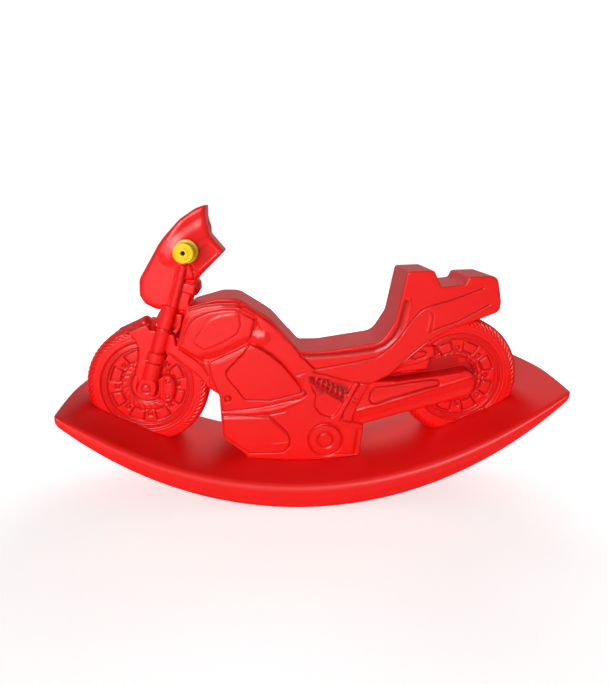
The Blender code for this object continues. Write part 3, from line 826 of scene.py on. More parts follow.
@dataclass(frozen=True)
class RockerShape:
    """The boat-shaped base: two arcs seen from the side, and a crowned deck. Sizes in metres."""

    bottom_radius: float = 0.6264
    edge_height: float = 0.043
    tip_thickness: float = 0.0176
    crown_front: float = 0.0085
    crown_rear: float = 0.0170
    crown_fade: tuple[float, float] = (0.120, 0.200)
    crown_rise_from: float = -0.28
    crown_rise: float = 0.24
    front_tip: float = -0.4275
    rear_tip: float = 0.4610
    width: float = 0.285
    end_sag: float = 0.006
    corner_radius: float = 0.010
    rounding: float = 0.012
    tip_drop: float = 0.006
    drop_from: float = 0.350
    rest_length: float = 0.020
    parting_line: float = 0.00012
    bolt_x: tuple[float, ...] = (-0.285, -0.055, 0.055, 0.287)
    bolt_hole_radius: float = 0.0033
    well_radius: float = 0.012
    well_roof: float = 0.026
    plug_x: float = 0.150
    plug_radius: float = 0.008
    plug_depth: float = 0.010
    below: float = -0.02
    steps_along: int = 120
    steps_across: int = 36

    def bottom(self, x: float) -> float:
        """Height of the underside at x."""
        rest, radius = self.rest_length / 2, self.bottom_radius
        return max(0.0, math.sqrt(radius ** 2 - rest ** 2) - math.sqrt(radius ** 2 - x * x))

    def top(self, x: float) -> float:
        """Height of the deck's near and far edges.

        Args:
            x: the place along the toy.

        Returns:
            The height there.
        """
        rise = self.bottom(self.rear_tip) + self.tip_thickness - self.edge_height
        radius = (self.rear_tip ** 2 + rise ** 2) / (2 * rise)
        tip = self.front_tip if x < 0 else self.rear_tip
        drop = self.tip_drop * max(0.0, (abs(x) - self.drop_from) / (abs(tip) - self.drop_from)) ** 2
        return self.edge_height + radius - math.sqrt(radius ** 2 - x * x) - drop

    def deck(self, x: float, y: float) -> float:
        """Height of the crowned deck.

        Args:
            x: the place along the toy.
            y: the place across it.

        Returns:
            The height there.
        """
        front, rear = (x - self.front_tip) / self.crown_fade[0], (self.rear_tip - x) / self.crown_fade[1]
        fade = max(0.0, min(1.0, front, rear))
        fade = fade * fade * (3 - 2 * fade)
        share = max(0.0, min(1.0, (x - self.crown_rise_from) / self.crown_rise))
        crown = self.crown_front + (self.crown_rear - self.crown_front) * share * share * (3 - 2 * share)
        return self.top(x) + crown * fade * max(0.0, 1 - (2 * y / self.width) ** 2)

    def board(self, name: str, raised: float = 0.0, margin: float = 0.0) -> Piece:
        """A rounded board bent to the rocker's shape.

        Args:
            name: the object's name.
            raised: how far the deck stands over the rocker's own, in metres.
            margin: how far the board reaches past the rocker's sides and below it, in metres.

        Returns:
            The closed board.
        """
        length, middle = self.rear_tip - self.front_tip, (self.rear_tip + self.front_tip) / 2
        deselect()
        bpy.ops.mesh.primitive_plane_add(size=1, location=(middle, 0, 0))
        obj = bpy.context.object
        obj.name = name
        obj.scale = (length, self.width, 1)
        settle(obj)
        bpy.ops.object.mode_set(mode="EDIT")
        bpy.ops.mesh.select_all(action="SELECT")
        bpy.ops.mesh.bevel(offset=self.corner_radius, segments=8, affect="VERTICES")
        bpy.ops.mesh.select_all(action="SELECT")
        bpy.ops.mesh.extrude_region_move(TRANSFORM_OT_translate={"value": (0, 0, self.edge_height)})
        close_seams(obj)
        modify(
            obj, "BEVEL", width=self.rounding, segments=6, limit_method="ANGLE", angle_limit=math.radians(60),
            use_clamp_overlap=False,
        )
        along, across = self.steps_along, self.steps_across
        cuts = [(self.front_tip + length * k / along, (1, 0, 0)) for k in range(1, along)]
        cuts += [(-self.width / 2 + self.width * k / across, (0, 1, 0)) for k in range(1, across)]
        cuts += [(self.edge_height / 2 + level * MM, (0, 0, 1)) for level in (-1.3, 0, 1.3)]
        score(obj, cuts)
        for vertex in obj.data.vertices:
            vertex.co = self.bent(vertex.co, raised, margin)
        return close_seams(obj)

    def bent(self, co: Vector, raised: float, margin: float) -> Vector:
        """Where a point of the flat board goes.

        Args:
            co: the point of the flat board.
            raised: how far the deck is raised.
            margin: how far the board reaches past the sides and below.

        Returns:
            The point of the bent board.
        """
        share = co.z / self.edge_height
        tip = self.front_tip if co.x < 0 else self.rear_tip
        sag = self.end_sag * abs(2 * co.y / self.width) ** 1.5 * (co.x / tip) ** 4
        x = co.x - math.copysign(sag, co.x)
        seam = self.parting_line if abs(share - 0.5) < 0.01 and not margin else 0.0
        y = co.y + math.copysign(seam + margin, co.y) if abs(co.y) > self.width * 0.35 else co.y
        low, high = self.bottom(x) - margin, self.top(x) + raised
        crown = self.deck(x, y) - self.top(x)
        return Vector((x, y, low + share * (high - low) + max(0.0, 2 * share - 1) * crown))

    def build(self) -> None:
        """The rocker with its bolt wells, bolt holes and blow hole."""
        rocker = self.board("rocker")
        bores = []
        for x in self.bolt_x:
            roof = self.deck(x, 0) - self.well_roof
            bores.append((x, self.well_radius, self.below, roof, 48))
            bores.append((x, self.bolt_hole_radius, roof - 0.01, roof + 0.06, 24))
        seat = self.bottom(self.plug_x) + self.plug_depth
        bores.append((self.plug_x, self.plug_radius, self.below, seat, 40))
        for x, radius, low, high, sides in bores:
            carve(rocker, rod("bore", radius, (x, 0, low), (x, 0, high), sides))
        close_seams(rocker)
        smooth(rocker)
        finish_piece(rocker, RED, "toy", "rocker_base")


@dataclass(frozen=True)
class Wheel:
    """A moulded wheel. Its hub and sizes in millimetres, its angles in degrees."""

    hub: Point
    face: float = 41.0
    rim: float = 34.0
    tyre_radius: float = 111.0
    window_outer: float = 67.6
    window_inner: float = 49.5
    window_half_angle: float = 11.8
    window_turn: float = 1.5
    disc_radius: float = 47.0
    rings: tuple[Corner, ...] = ((30.2, 2.2, 2.8), (34.2, 1.5, 1.6), (71.4, 1.5, 1.8), (76.0, 1.6, 1.8))
    tread_pitch: float = 5.0

    def profile(self) -> list[Point]:
        """Half profile of the wheel.

        Returns:
            (radius, y) points in millimetres, from the axis to the middle of the tread.
        """
        face, rim = self.face, self.rim
        shoulder = [
            (self.tyre_radius - 14 + 14 * math.sin(t), face - 21 + 21 * math.cos(t) ** 0.8)
            for t in (math.radians(a) for a in (20, 34, 47, 60, 72, 82))
        ]
        return [
            (0, 45), (8.5, 45), (10, 43.8), (10.2, rim + 1.4), (28, rim + 1.6), (29, rim), (70, rim),
            (72.5, rim + 1), (75, rim + 4.2), (80, rim + 4.4), (83.5, face - 0.4), (88, face),
        ] + shoulder + [(self.tyre_radius, 0)]

    def build(self, name: str) -> Piece:
        """The wheel at its place.

        Args:
            name: the object's name.

        Returns:
            One closed spun solid.
        """
        half = self.profile()
        outline = half + [(r, -y) for r, y in half[-2::-1]]
        return shift(spun(name, outline, 128), self.hub[0], 0, self.hub[1])

    def around(self, radius: float, degrees: float) -> Point:
        """A point round the hub."""
        turn = math.radians(degrees)
        return self.hub[0] + radius * math.cos(turn), self.hub[1] + radius * math.sin(turn)

    def arc(self, radius: float, start: float, end: float, count: int) -> Line:
        """Points of an arc round the hub."""
        return tuple(self.around(radius, start + (end - start) * k / (count - 1)) for k in range(count))

    def sculpt(self, tool: Sculptor) -> None:
        """Draw the windows, bolts, brake disc, rings and tread.

        Args:
            tool: the sculptor of the dense body.
        """
        half = self.window_half_angle
        for k in range(8):
            turn = 45 * k + self.window_turn
            middle = 22.5 + turn
            window = self.arc(self.window_outer, middle - half, middle + half, 7)
            window += self.arc(self.window_inner, middle + half, middle - half, 7)
            tool.pad(window, -0.4, 1.8, Layer.WHEEL)
            tool.stroke(window, 2.2, -2.8, Layer.WHEEL, closed=True)
            spoke = self.arc(58.6, turn - 3.6, turn + 3.6, 3) + self.arc(50.5, turn + 4.2, turn - 4.2, 3)
            tool.stroke(spoke, 1.6, -1.8, Layer.WHEEL, closed=True)
            tool.dot(self.around(54.5, turn), 2.3, 1.6, 1.6, Layer.WHEEL)
        for k in range(24):
            tool.stroke((self.around(37.5, 15 * k), self.around(43.5, 15 * k + 6)), 1.6, -1.8, Layer.WHEEL)
        self.sculpt_rings(tool)

    def sculpt_rings(self, tool: Sculptor) -> None:
        """Turn the rings of rim, brake disc and tyre, and cut the tread, with painted shade in the cuts.

        Args:
            tool: the sculptor of the dense body.
        """
        chosen = tool.near((self.hub,), self.tyre_radius + 14, facing=0.0)
        dx, dz = tool.x[chosen] - self.hub[0], tool.z[chosen] - self.hub[1]
        away, turn = np.hypot(dx, dz), np.degrees(np.arctan2(dz, dx)) % 360
        y, facing = tool.y[chosen], tool.facing[chosen]
        teeth = self.disc_radius + np.cos(np.radians(turn * 24))
        rings = sum(
            depth * hollow(away - radius, reach) for radius, reach, depth in ((teeth, 1.7, 2.0), *self.rings))
        # Each cut also paints shade into what it sinks: the rings fully, the tyre rings and tread in part
        tool.cut(chosen, rings * ramp(facing, 0.4, 0.8) * (y < 39) * (y > 30), 1.0)
        tyre = 3.4 * hollow(away - 80.8, 3.8) + 0.6 * hollow(away - 91.5, 1.6)
        tool.cut(chosen, tyre * ramp(facing, 0.2, 0.6) * (y < 43), 0.4)
        tread = ramp(away, self.tyre_radius - 15.5, self.tyre_radius - 11)
        tread = tread * (y < 41) * (away < self.tyre_radius + 2)
        slant = (turn + 0.5 * (self.tyre_radius - away) + 0.30 * y) % self.tread_pitch
        tool.cut(chosen, 2.4 * np.clip(1.3 - np.abs(slant - 2.5) / 1.1, 0, 1) * tread, 0.5)


@dataclass(frozen=True)
class MotorcycleBody:
    """The relief-moulded motorcycle in one piece. Sizes in millimetres."""

    voxel: float = 1.15
    quick_voxel: float = 2.6
    triangle_limit: int = 194_000
    fender_half_width: float = 26.0
    fender_arch: float = 11.0
    pocket_floor: float = 53.0
    recess_floor: float = 16.0
    fork_top: Point = (-236.5, 347.0)
    fork_foot: Point = (-278.6, 213.0)
    fork_y: float = 42.5
    fork_steps: tuple[Corner, ...] = (
        (0.0, 1.0, 11.2), (0.0, 0.29, 13.4), (0.315, 0.61, 12.5), (0.635, 0.755, 15.0), (0.775, 1.0, 14.2),
    )
    crown_tube: tuple[Point, Point] = ((-210.0, 418.0), (-233.5, 336.0))
    crown_tube_y: float = 44.0
    shock_top: Point = (17.0, 213.5)
    shock_foot: Point = (78.0, 175.5)
    shock_y: float = 51.5
    shock_turns: int = 7
    crank: Point = (39.0, 96.5)
    crank_steps: tuple[Point, ...] = ((28.6, 62.4), (12.0, 63.6))
    front: Wheel = Wheel((-285.3, 197.9))
    rear: Wheel = Wheel((287.3, 206.8), tyre_radius=113.0)

    def slabs(self) -> dict[str, Slab]:
        """The plates of the relief, without the trunk."""
        return {
            "swingarm": Slab(50, 5, ((85, 114, 0), (179, 140, 20), (273, 164, 30), (312, 174, 14),
                (320, 200, 14), (304, 223, 14), (252, 214, 30), (177, 204, 0), (85, 204, 0))),
            "rear_web": Slab(16, 2, ((105, 190, 0), (150, 225, 0), (212, 280, 0), (238, 250, 10),
                (246, 200, 0))),
            "rear_inner": Slab(43, 1.5, ((105, 203, 0), (150, 215, 0), (190, 222, 0), (227, 224.5, 3),
                (229.5, 236, 3), (238, 262, 0), (212, 280, 0), (150, 226, 0))),
            "rear_frame": Slab(47, 3, ((112, 200, 0), (150, 226, 0), (206, 274, 0), (222, 270, 3.5),
                (237, 268, 4), (239.5, 257, 6), (233, 248, 8), (224, 241.5, 10), (199, 234.5, 0),
                (177, 229, 0), (150, 212, 0))),
            "fork_guard": Slab(45, 2.5, ((-313.5, 299, 3), (-297, 307, 8), (-279, 313, 4), (-273.5, 303, 3),
                (-255, 300, 0), (-262, 268, 0), (-272, 250, 0), (-272, 205, 0), (-300, 205, 4),
                (-304, 222, 4), (-300.5, 236, 6), (-295.5, 258, 10), (-296, 272, 6), (-300.5, 285, 4))),
            "shroud": Slab(53, 3, ((-237.5, 298, 3.5), (-230, 294, 3.5), (-228, 276, 0), (-190, 262, 0),
                (-165, 230, 0), (-160, 195, 0), (-172, 195, 3.5), (-184, 211, 10), (-195, 223.5, 12),
                (-205, 232.5, 12), (-219, 244, 12), (-228, 252.5, 12), (-239, 261, 4), (-248, 262, 3.5),
                (-244, 276, 0))),
            "stem_upper": Slab(39, 3, ((-205, 422, 0), (-196.5, 420, 0), (-188, 392, 0), (-193.5, 384, 0),
                (-209.5, 388, 0))),
            "stem_clamp": Slab(41, 2.5, ((-213.5, 388, 3), (-191, 382, 3), (-195.5, 364, 3),
                (-218.5, 371, 3))),
            "stem_lower": Slab(37, 3, ((-219, 372, 0), (-199, 366, 0), (-204, 352, 3.5), (-206, 344, 3.5),
                (-211, 336, 3.5), (-229, 337, 3.5), (-225.5, 350, 5))),
            "stem_core": Slab(30, 4, ((-214, 402, 0), (-191, 397, 0), (-190, 372, 0), (-203, 350, 0),
                (-206, 300, 0), (-240, 300, 0), (-238, 340, 0), (-222, 372, 0))),
            "ignition_bump": Slab(14, 4, ((-200, 388, 4.5), (-186, 387, 4.5), (-185, 372, 4.5),
                (-194, 358, 4.5), (-204, 365, 0))),
            "tank_side": Slab(62.8, 4, ((-221.5, 278, 6), (-205, 331, 15), (-180, 342, 15),
                (-140, 347.5, 15), (-114, 346.5, 6), (-86, 330, 5), (-98.5, 283, 5), (-150, 258, 10),
                (-180, 252, 10), (-206, 266, 10))),
            "small_bar": Slab(51, 1.5, ((-226.5, 333, 2), (-215, 332, 2), (-216.5, 322, 4), (-218.5, 312, 4),
                (-222.5, 303, 4), (-227.5, 296.5, 2), (-234.5, 302, 2), (-228.5, 306, 3), (-225, 314, 5),
                (-223, 322, 3))),
        }

    def fender(self) -> Piece:
        """The front mudguard, arched from side to side.

        Returns:
            The mudguard.
        """
        points = fillet(((-340, 290, 2), (-337.8, 299, 3), (-322.6, 306, 30), (-301.6, 315.5, 30),
            (-291, 321.5, 6), (-285, 322, 5), (-278, 315.5, 4), (-271, 315.5, 4), (-262, 332, 4),
            (-235, 335, 0), (-240, 250, 0), (-300, 270, 0), (-313, 295, 3)))
        half = self.fender_half_width
        body = plate("mudguard", points, -half, half, 4)
        score(body, [(y * MM, (0, 1, 0)) for y in range(-24, 25, 4)])
        for vertex in body.data.vertices:
            vertex.co.z -= self.fender_arch * MM * (vertex.co.y / (half * MM)) ** 2
        return body

    def hollow_out(self, body: Piece, corners: tuple[Corner, ...], depth: float) -> Piece:
        """Take an outline out of both sides of a piece.

        Args:
            body: the piece.
            corners: the outline.
            depth: where the hollow's floor lies, as |Y|.

        Returns:
            The same piece.
        """
        for side in (-1, 1):
            low, high = sorted((side * depth, side * 75))
            carve(body, plate("pocket", fillet(corners), low, high))
        return body

    def trunk(self) -> Piece:
        """Tank, seat, tail and engine, with the shock absorber's pocket taken out of both sides.

        Returns:
            The trunk.
        """
        body = Slab(60, 3.5, ((-226, 277, 4), (-206, 346, 12), (-150, 361.5, 40), (-117, 361, 20),
            (-60, 325, 60), (-7, 263.5, 10), (30, 263.5, 30), (138, 280, 30), (163, 320, 30),
            (181, 406.5, 7), (229, 408, 6), (243, 379, 4), (285, 383, 8), (291, 396.5, 7), (343, 398, 14),
            (352.5, 352, 30), (351, 333.5, 13), (320, 321.5, 3), (262, 302, 20), (230, 283, 20),
            (155, 218, 15), (119, 201, 4), (108, 183, 0), (99.5, 164, 0), (91, 145, 0), (88.5, 129.5, 0),
            (109.5, 123, 0), (103, 70, 0), (99, 30, 0), (-97, 30, 0), (-108, 68, 0), (-121, 80, 0),
            (-150, 103, 10), (-154, 186, 8), (-170, 197, 4), (-171, 220, 20),
            (-184, 250, 15))).build("trunk")
        return self.hollow_out(body, ((9, 219, 3), (12, 203, 4), (14.5, 190, 4), (20, 186, 4), (19, 172, 6),
            (17.5, 160, 6), (29, 146, 6), (49, 138, 5), (56, 142, 4), (68, 160, 8), (78, 180, 8),
            (89, 204, 3)), self.pocket_floor)

    def rear_wheel(self) -> Piece:
        """Rear wheel with the dark recess over the swingarm taken out of both sides."""
        return self.hollow_out(self.rear.build("rear_wheel"), ((150, 200, 0), (150, 215, 0), (190, 217, 0),
            (227, 222.5, 0), (229, 235, 4), (243, 242, 6), (270, 244, 8), (287, 244, 8), (304, 239, 8),
            (318, 227, 8), (323, 212, 4), (290, 205, 0), (200, 195, 0)),
            self.recess_floor)

    def fairing(self) -> Piece:
        """The headlamp fairing with the hole for the handlebar.

        Returns:
            The fairing.
        """
        body = Slab(47, 11, ((-170.5, 521, 3), (-187, 515.5, 30), (-215, 497, 60), (-249, 460, 80),
            (-289, 393, 20), (-290, 365, 15), (-281.5, 350, 15), (-262, 340, 10), (-232, 337, 4),
            (-226, 365, 10), (-213, 392, 10), (-189, 392, 4), (-140, 440, 4), (-165, 470, 20),
            (-170.5, 490, 20))).build("fairing")
        x, z = HANDLE[0] * MM, HANDLE[1] * MM
        carve(body, rod("rod_hole", 0.0063, (x, -0.08, z), (x, 0.08, z)))
        return body

    def fork(self, side: int) -> list[Piece]:
        """Fork leg with its collars, the tube over the fairing, axle block and brake caliper of one side.

        Args:
            side: -1 or 1.

        Returns:
            The pieces.
        """
        top = world_point(self.fork_top, side * self.fork_y)
        foot = world_point(self.fork_foot, side * self.fork_y)
        pieces = [
            rod("fork_leg", radius * MM, top.lerp(foot, start), top.lerp(foot, end), 48)
            for start, end, radius in self.fork_steps
        ]
        ends = (world_point(point, side * self.crown_tube_y) for point in self.crown_tube)
        pieces.append(rod("crown_tube", 0.0070, *ends, 48))
        plates = (
            ("axle_block", 44.5, 5.0, 1.5, ((-290.5, 217.5, 3), (-268.5, 212, 3), (-267.5, 198, 7),
                (-273.5, 180.5, 4), (-288, 183.5, 6), (-302, 187, 5), (-302.5, 195, 4), (-297, 209, 6))),
            ("caliper", 38.5, 4.5, 1.5, ((-263, 212, 6), (-251, 220, 6), (-241, 219, 8), (-235, 207, 8),
                (-235.5, 188, 12), (-241, 172, 8), (-250, 167, 8), (-261, 172, 6), (-265, 184, 6))),
            ("caliper_cap", 41.0, 5.0, 2.0, ((-254.5, 218, 8.5), (-238, 217, 8.5), (-239.5, 170.5, 8.5),
                (-257.5, 169.5, 8.5))),
        )
        for name, level, depth, rounding, corners in plates:
            middle = side * level
            pieces.append(plate(name, fillet(corners), middle - depth, middle + depth, rounding))
        return pieces

    def shock(self, side: int) -> list[Piece]:
        """Moulded spring and damper of one side.

        Args:
            side: -1 or 1.

        Returns:
            The damper and the turns of its spring.
        """
        start = world_point(self.shock_top, side * self.shock_y)
        end = world_point(self.shock_foot, side * self.shock_y)
        tilt = ((end - start).normalized() + Vector((0.16, 0, 0.10))).normalized()
        pieces = [rod("damper", 0.0050, start, end)]
        for k in range(self.shock_turns):
            deselect()
            bpy.ops.mesh.primitive_torus_add(
                major_radius=0.0086, minor_radius=0.0020, major_segments=36, minor_segments=12,
                location=start.lerp(end, (k + 0.5) / self.shock_turns),
                rotation=tilt.to_track_quat("Z", "Y").to_euler(),
            )
            pieces.append(settle(bpy.context.object))
        return pieces

    def fused(self) -> Piece:
        """Plates, wheels, fork and spring as one closed, dense mesh.

        Returns:
            The body, not sculpted yet.
        """
        shape = RockerShape()
        trunk, front, rear = self.trunk(), self.front.build("front_wheel"), self.rear_wheel()
        for piece in (trunk, front, rear):
            carve(piece, shape.board("deck_cutter", raised=0.0006, margin=0.03))
        pieces = [trunk, front, rear, self.fairing(), self.fender()]
        pieces += [slab.build(name) for name, slab in self.slabs().items()]
        for side in (-1, 1):
            pieces += self.fork(side) + self.shock(side)
            x, z = self.crank[0] * MM, self.crank[1] * MM
            for radius, height in self.crank_steps:
                pieces.append(rod("crank", radius * MM, (x, side * 0.05, z), (x, side * height * MM, z), 96))
        body = join("motorcycle_shell", pieces)
        voxel = self.voxel
        modify(body, "REMESH", mode="VOXEL", voxel_size=voxel * MM, adaptivity=0.0)
        modify(body, "SMOOTH", factor=0.5, iterations=2)
        log.info("fused body: %d faces", len(body.data.polygons))
        return body

    def build(self) -> None:
        """The whole body: fused, sculpted, thinned and shaded, with painted shade in grooves and recesses."""
        body = self.fused()
        tool = Sculptor(body)
        fairing_rear = ((-171, 530), (-171, 492), (-166, 471), (-150, 450))
        tank_top = ((-117, 361), (-60, 325), (-30, 290))
        tank_foot = ((-180, 253), (-150, 258), (-99, 283))
        tool.narrow(fairing_rear, reach=72, share=0.32)
        tool.ease(tank_top, y=58, reach=10, depth=3.0)
        tool.ease(tank_foot, y=62, reach=14, depth=4.5)
        self.sculpt(tool)
        tool.finish()
        modify(body, "SMOOTH", factor=0.3, iterations=1)
        triangles = 2 * len(body.data.polygons)
        if triangles > self.triangle_limit:
            modify(body, "DECIMATE", ratio=self.triangle_limit / triangles)
        tool = Sculptor(body)
        self.sculpt(tool)
        spring_pocket = ((9, 216), (20, 224), (92, 184), (80, 160), (19, 196))
        rear_recess = ((105, 185), (150, 212), (227, 221), (230, 234), (243, 242), (287, 244), (318, 227),
            (323, 205))
        # Painted shade on the floors of the spring's pocket and of the recess over the rear wheel
        tool.paint_recess_shade(spring_pocket, y=56.6, depth=2.4)
        tool.paint_recess_shade(rear_recess, y=36, depth=1.8)
        tool.shade()
        activate(body)
        bpy.ops.object.shade_smooth()
        modify(body, "WEIGHTED_NORMAL", mode="FACE_AREA", weight=50, keep_sharp=False)
        finish_piece(body, RED, "toy", "motorcycle_body")

    def sculpt(self, tool: Sculptor) -> None:
        """Draw every line and panel of the side relief.

        Args:
            tool: the sculptor of the dense body.
        """
        self.front.sculpt(tool)
        self.rear.sculpt(tool)
        swingarm_cover = ((105, 190), (150, 226), (212, 283), (222, 271), (238, 270), (241, 256), (233, 246),
            (229, 236), (243, 243), (262, 246), (280, 246), (300, 242), (316, 230), (324, 214), (320, 172),
            (260, 156), (105, 118))
        fork_cover = ((-341, 288), (-323, 306), (-291, 323), (-262, 332), (-240, 300), (-262, 268),
            (-268, 205), (-302, 205), (-305, 222), (-300, 240), (-296, 272), (-301, 286), (-314, 300),
            (-328, 290))
        tool.clear(swingarm_cover)
        tool.clear(fork_cover)
        self.sculpt_head(tool)
        self.sculpt_tank(tool)
        self.sculpt_middle(tool)
        self.sculpt_engine(tool)
        self.sculpt_seat(tool)
        self.sculpt_rear(tool)
        self.sculpt_fork(tool)

    def sculpt_head(self, tool: Sculptor) -> None:
        """Fairing: crease, lines beside the crown tube, and the inset by the handle.

        Args:
            tool: the sculptor of the dense body.
        """
        tool.strokes(
            (((-203, 420), (-206, 408), (-211, 391), (-218, 371), (-224, 355), (-228, 343)), 2.6, -2.4),
            (((-220, 416), (-223, 404), (-231, 374), (-241, 341)), 2.6, -1.2),
            layer=Layer.FAIRING)
        tool.stroke(((-234, 433), (-211, 456), (-200, 465), (-190, 472), (-179, 479), (-168, 486)), 20,
            4.6, Layer.FAIRING_REAR)
        tool.pad(((-175, 448), (-166, 453), (-156, 446), (-150, 438), (-165, 424), (-179, 413), (-188, 407),
            (-198, 414), (-191, 426), (-183, 440)), -2.0, 3.0, Layer.FAIRING_REAR, moat=0.5)
        tool.stroke(((-272, 398), (-258, 404), (-240, 403)), 6, -0.3, Layer.FAIRING)
        tool.pad(((-204.5, 420), (-196.5, 418), (-193, 390), (-208.5, 388)), 1.2, 2.0, Layer.FAIRING,
            moat=1.6)
        tool.strokes(
            (((-214, 389), (-192, 383.5)), 1.7, -2.2),
            (((-219, 371), (-196, 364.5)), 1.7, -2.2),
            layer=Layer.STEM)

    def sculpt_tank(self, tool: Sculptor) -> None:
        """Tank: cove under its top edge, side panel, spine line and vent.

        Args:
            tool: the sculptor of the dense body.
        """
        tool.stroke(((-200, 343), (-176, 350), (-150, 353), (-120, 352.5), (-110, 348)), 5.0, -3.4,
            facing=0.1, dark=0.7)
        tool.stroke(((-217, 281), (-212, 296), (-205, 311), (-198, 320), (-190, 327), (-176, 333),
            (-165, 337), (-140, 341), (-121, 341), (-110, 335.5), (-98, 329), (-88, 323)), 2.4, -1.7)
        tool.pad(((-195, 283), (-188, 298), (-177, 311), (-166, 323), (-150, 331), (-127, 334.5),
            (-115, 333), (-113, 314), (-119, 299), (-140, 287), (-160, 278), (-178, 271), (-190, 278)), 1.8,
            4.2, moat=0.2)
        tool.strokes(
            (((-179, 309), (-189, 298), (-195, 284), (-179, 271)), 2.0, -1.0),
            (((-115, 334), (-112, 314), (-119, 299), (-130, 292)), 2.0, -1.0),
            (((-176, 258), (-150, 265), (-122, 277), (-104, 287)), 7, -1.0))
        tool.stroke(((-114, 351), (-109, 349), (-100, 345), (-80, 332), (-62, 318.5), (-43, 304), (-26, 284),
            (-4, 256), (7, 243.5), (14, 235.5), (21, 231.5)), 2.5, -2.9, facing=0.1)
        tool.strokes(
            (((-85, 325), (-90, 308), (-95, 293), (-98.5, 284)), 2.2, -2.6),
            (((-98, 281.5), (-120, 269.5), (-150, 256.5), (-172, 250), (-181, 251)), 2.4, -2.7))
        tool.wedge(((-83, 323), (-75, 306), (-67, 293), (-72, 286), (-82, 277), (-97, 282), (-91, 306)),
            (0.45, -0.9), 6.5)
        tool.stroke(((-81, 290), (-73, 291)), 15, 4.4)

    def sculpt_middle(self, tool: Sculptor) -> None:
        """Knee cover, belt line, shock absorber and struts.

        Args:
            tool: the sculptor of the dense body.
        """
        cover = ((-169, 246), (-150, 255), (-97, 281), (-76, 272), (-58, 260), (-40, 243), (-26, 225),
            (-14, 210), (-5, 196), (2, 187), (-3, 181), (-17, 176), (-35, 172), (-59, 166), (-90, 161),
            (-117, 158), (-147, 156), (-154, 190), (-166, 222))
        tool.pad(cover, 1.0, 2.2, moat=1.6)
        tool.pad(((-103, 268), (-110, 260), (-133, 237), (-139, 229), (-139, 222), (-134, 213), (-120, 196),
            (-110, 181), (-104, 177), (-59, 176), (-26, 184), (-5, 190), (-7, 197), (-16, 210), (-28, 225),
            (-42, 242), (-60, 258), (-78, 270), (-97, 279)), 2.2, 2.2, moat=2.4)
        tool.strokes(
            (((-98, 281.5), (-80, 274.5), (-58, 261), (-40, 244), (-26, 226.5), (-14, 211), (-4, 197)), 2.2,
             -2.2),
            (((-147, 151), (-99, 151), (-59, 155), (-36, 161), (-5, 173)), 5, 1.5),
            (((-148, 144.5), (-99, 144), (-62, 147), (-36, 152)), 2.2, -1.6),
            (((-20, 175), (-2, 180.5), (3, 184)), 2.4, -2.4))
        tool.dot((-138.5, 179), 4.4, 1.4, 2.4)
        tool.stroke(((-16, 220.5), (-8, 223), (0, 224.5)), 1.8, -2.0)
        tool.pad(((-14, 219), (-2, 221.5), (-2, 204)), 1.0, 2.0)
        tool.stroke(((7.5, 219), (10.5, 205)), 1.6, -1.6)
        tool.stroke(((95, 203), (85, 183), (72, 155), (65, 142)), 3.0, 2.2, Layer.POCKET)
        tool.strokes(
            (((101, 202), (89, 180), (80, 164), (72, 150), (69.5, 138), (67, 134)), 2.0, -3.0),
            (((88, 177), (101, 172)), 1.7, -1.8),
            (((88, 168.5), (98, 163.5)), 1.7, -1.8),
            (((66, 133), (80, 130.5), (91, 128.5)), 2.0, -2.8))

    def sculpt_engine(self, tool: Sculptor) -> None:
        """Engine panel, crank cover and rear edge.

        Args:
            tool: the sculptor of the dense body.
        """
        tool.pad(((-148, 145), (-139, 145), (-81, 144), (-63, 142), (-45, 124), (-32, 110), (-27, 98),
            (-30, 84), (-40, 74), (-100, 74), (-125, 92), (-146, 108)), 2.0, moat=1.6)
        tool.strokes(
            (((-148, 142.5), (-81, 142), (-64, 140), (-46, 122), (-33, 108)), 1.9, -1.6),
            (((-57, 90), (-31, 92)), 2.6, 1.1))
        for radius, width, depth in ((31.0, 3.4, -2.8), (14.0, 3.4, -2.6), (25.5, 1.8, -0.6)):
            turns = [math.tau * k / 48 for k in range(48)]
            ring = tuple(
                (self.crank[0] + radius * math.cos(t), self.crank[1] + radius * math.sin(t)) for t in turns)
            tool.stroke(ring, width, depth, closed=True, dark=0.55)
        tool.stroke(((57, 67.5), (90, 67.5)), 2.2, -2.2)
        tool.stroke(((100, 112), (97, 92), (94, 68)), 6.0, -2.4, facing=0.1, dark=0.5)
        tool.stroke(((72, 122), (88, 117), (103, 112)), 4.0, -0.7)

    def sculpt_seat(self, tool: Sculptor) -> None:
        """Seat welt, side panel and tail lines.

        Args:
            tool: the sculptor of the dense body.
        """
        tool.stroke(((-4, 257), (19, 256), (64, 258.5), (100, 262.5), (127, 266.5), (146, 274.5), (160, 288),
            (170, 305), (176, 330), (181, 352)), 7.0, -3.0, facing=0.1, dark=0.8)
        tool.strokes(
            (((21, 231.5), (30, 232.5), (60, 238), (100, 245), (132, 253), (143, 261), (157, 273),
             (171, 288), (180, 301), (193, 320), (205, 334), (214, 340), (223, 344), (241, 349), (258, 354),
             (279, 361), (302, 370), (318, 376)), 2.0, -2.4),
            (((15, 226.5), (25, 223), (42, 220), (60, 214), (80, 208.5), (101, 204), (128, 202.5),
             (145, 210), (159, 222), (173, 236), (191, 255), (208, 269), (226, 283)), 2.0, -2.4),
            (((225, 297), (252, 308), (279, 318), (305, 332), (331, 346)), 2.2, -2.2),
            facing=0.1)
        tool.strokes(
            (((224, 331), (227, 326), (224, 311), (222, 298)), 3.6, 1.2),
            (((230, 331), (231, 320), (228, 300)), 3.2, -0.8))
        tool.stroke(((186, 358), (189, 349), (186, 329), (182, 311), (173, 292)), 4.0, 1.4, facing=0.1)

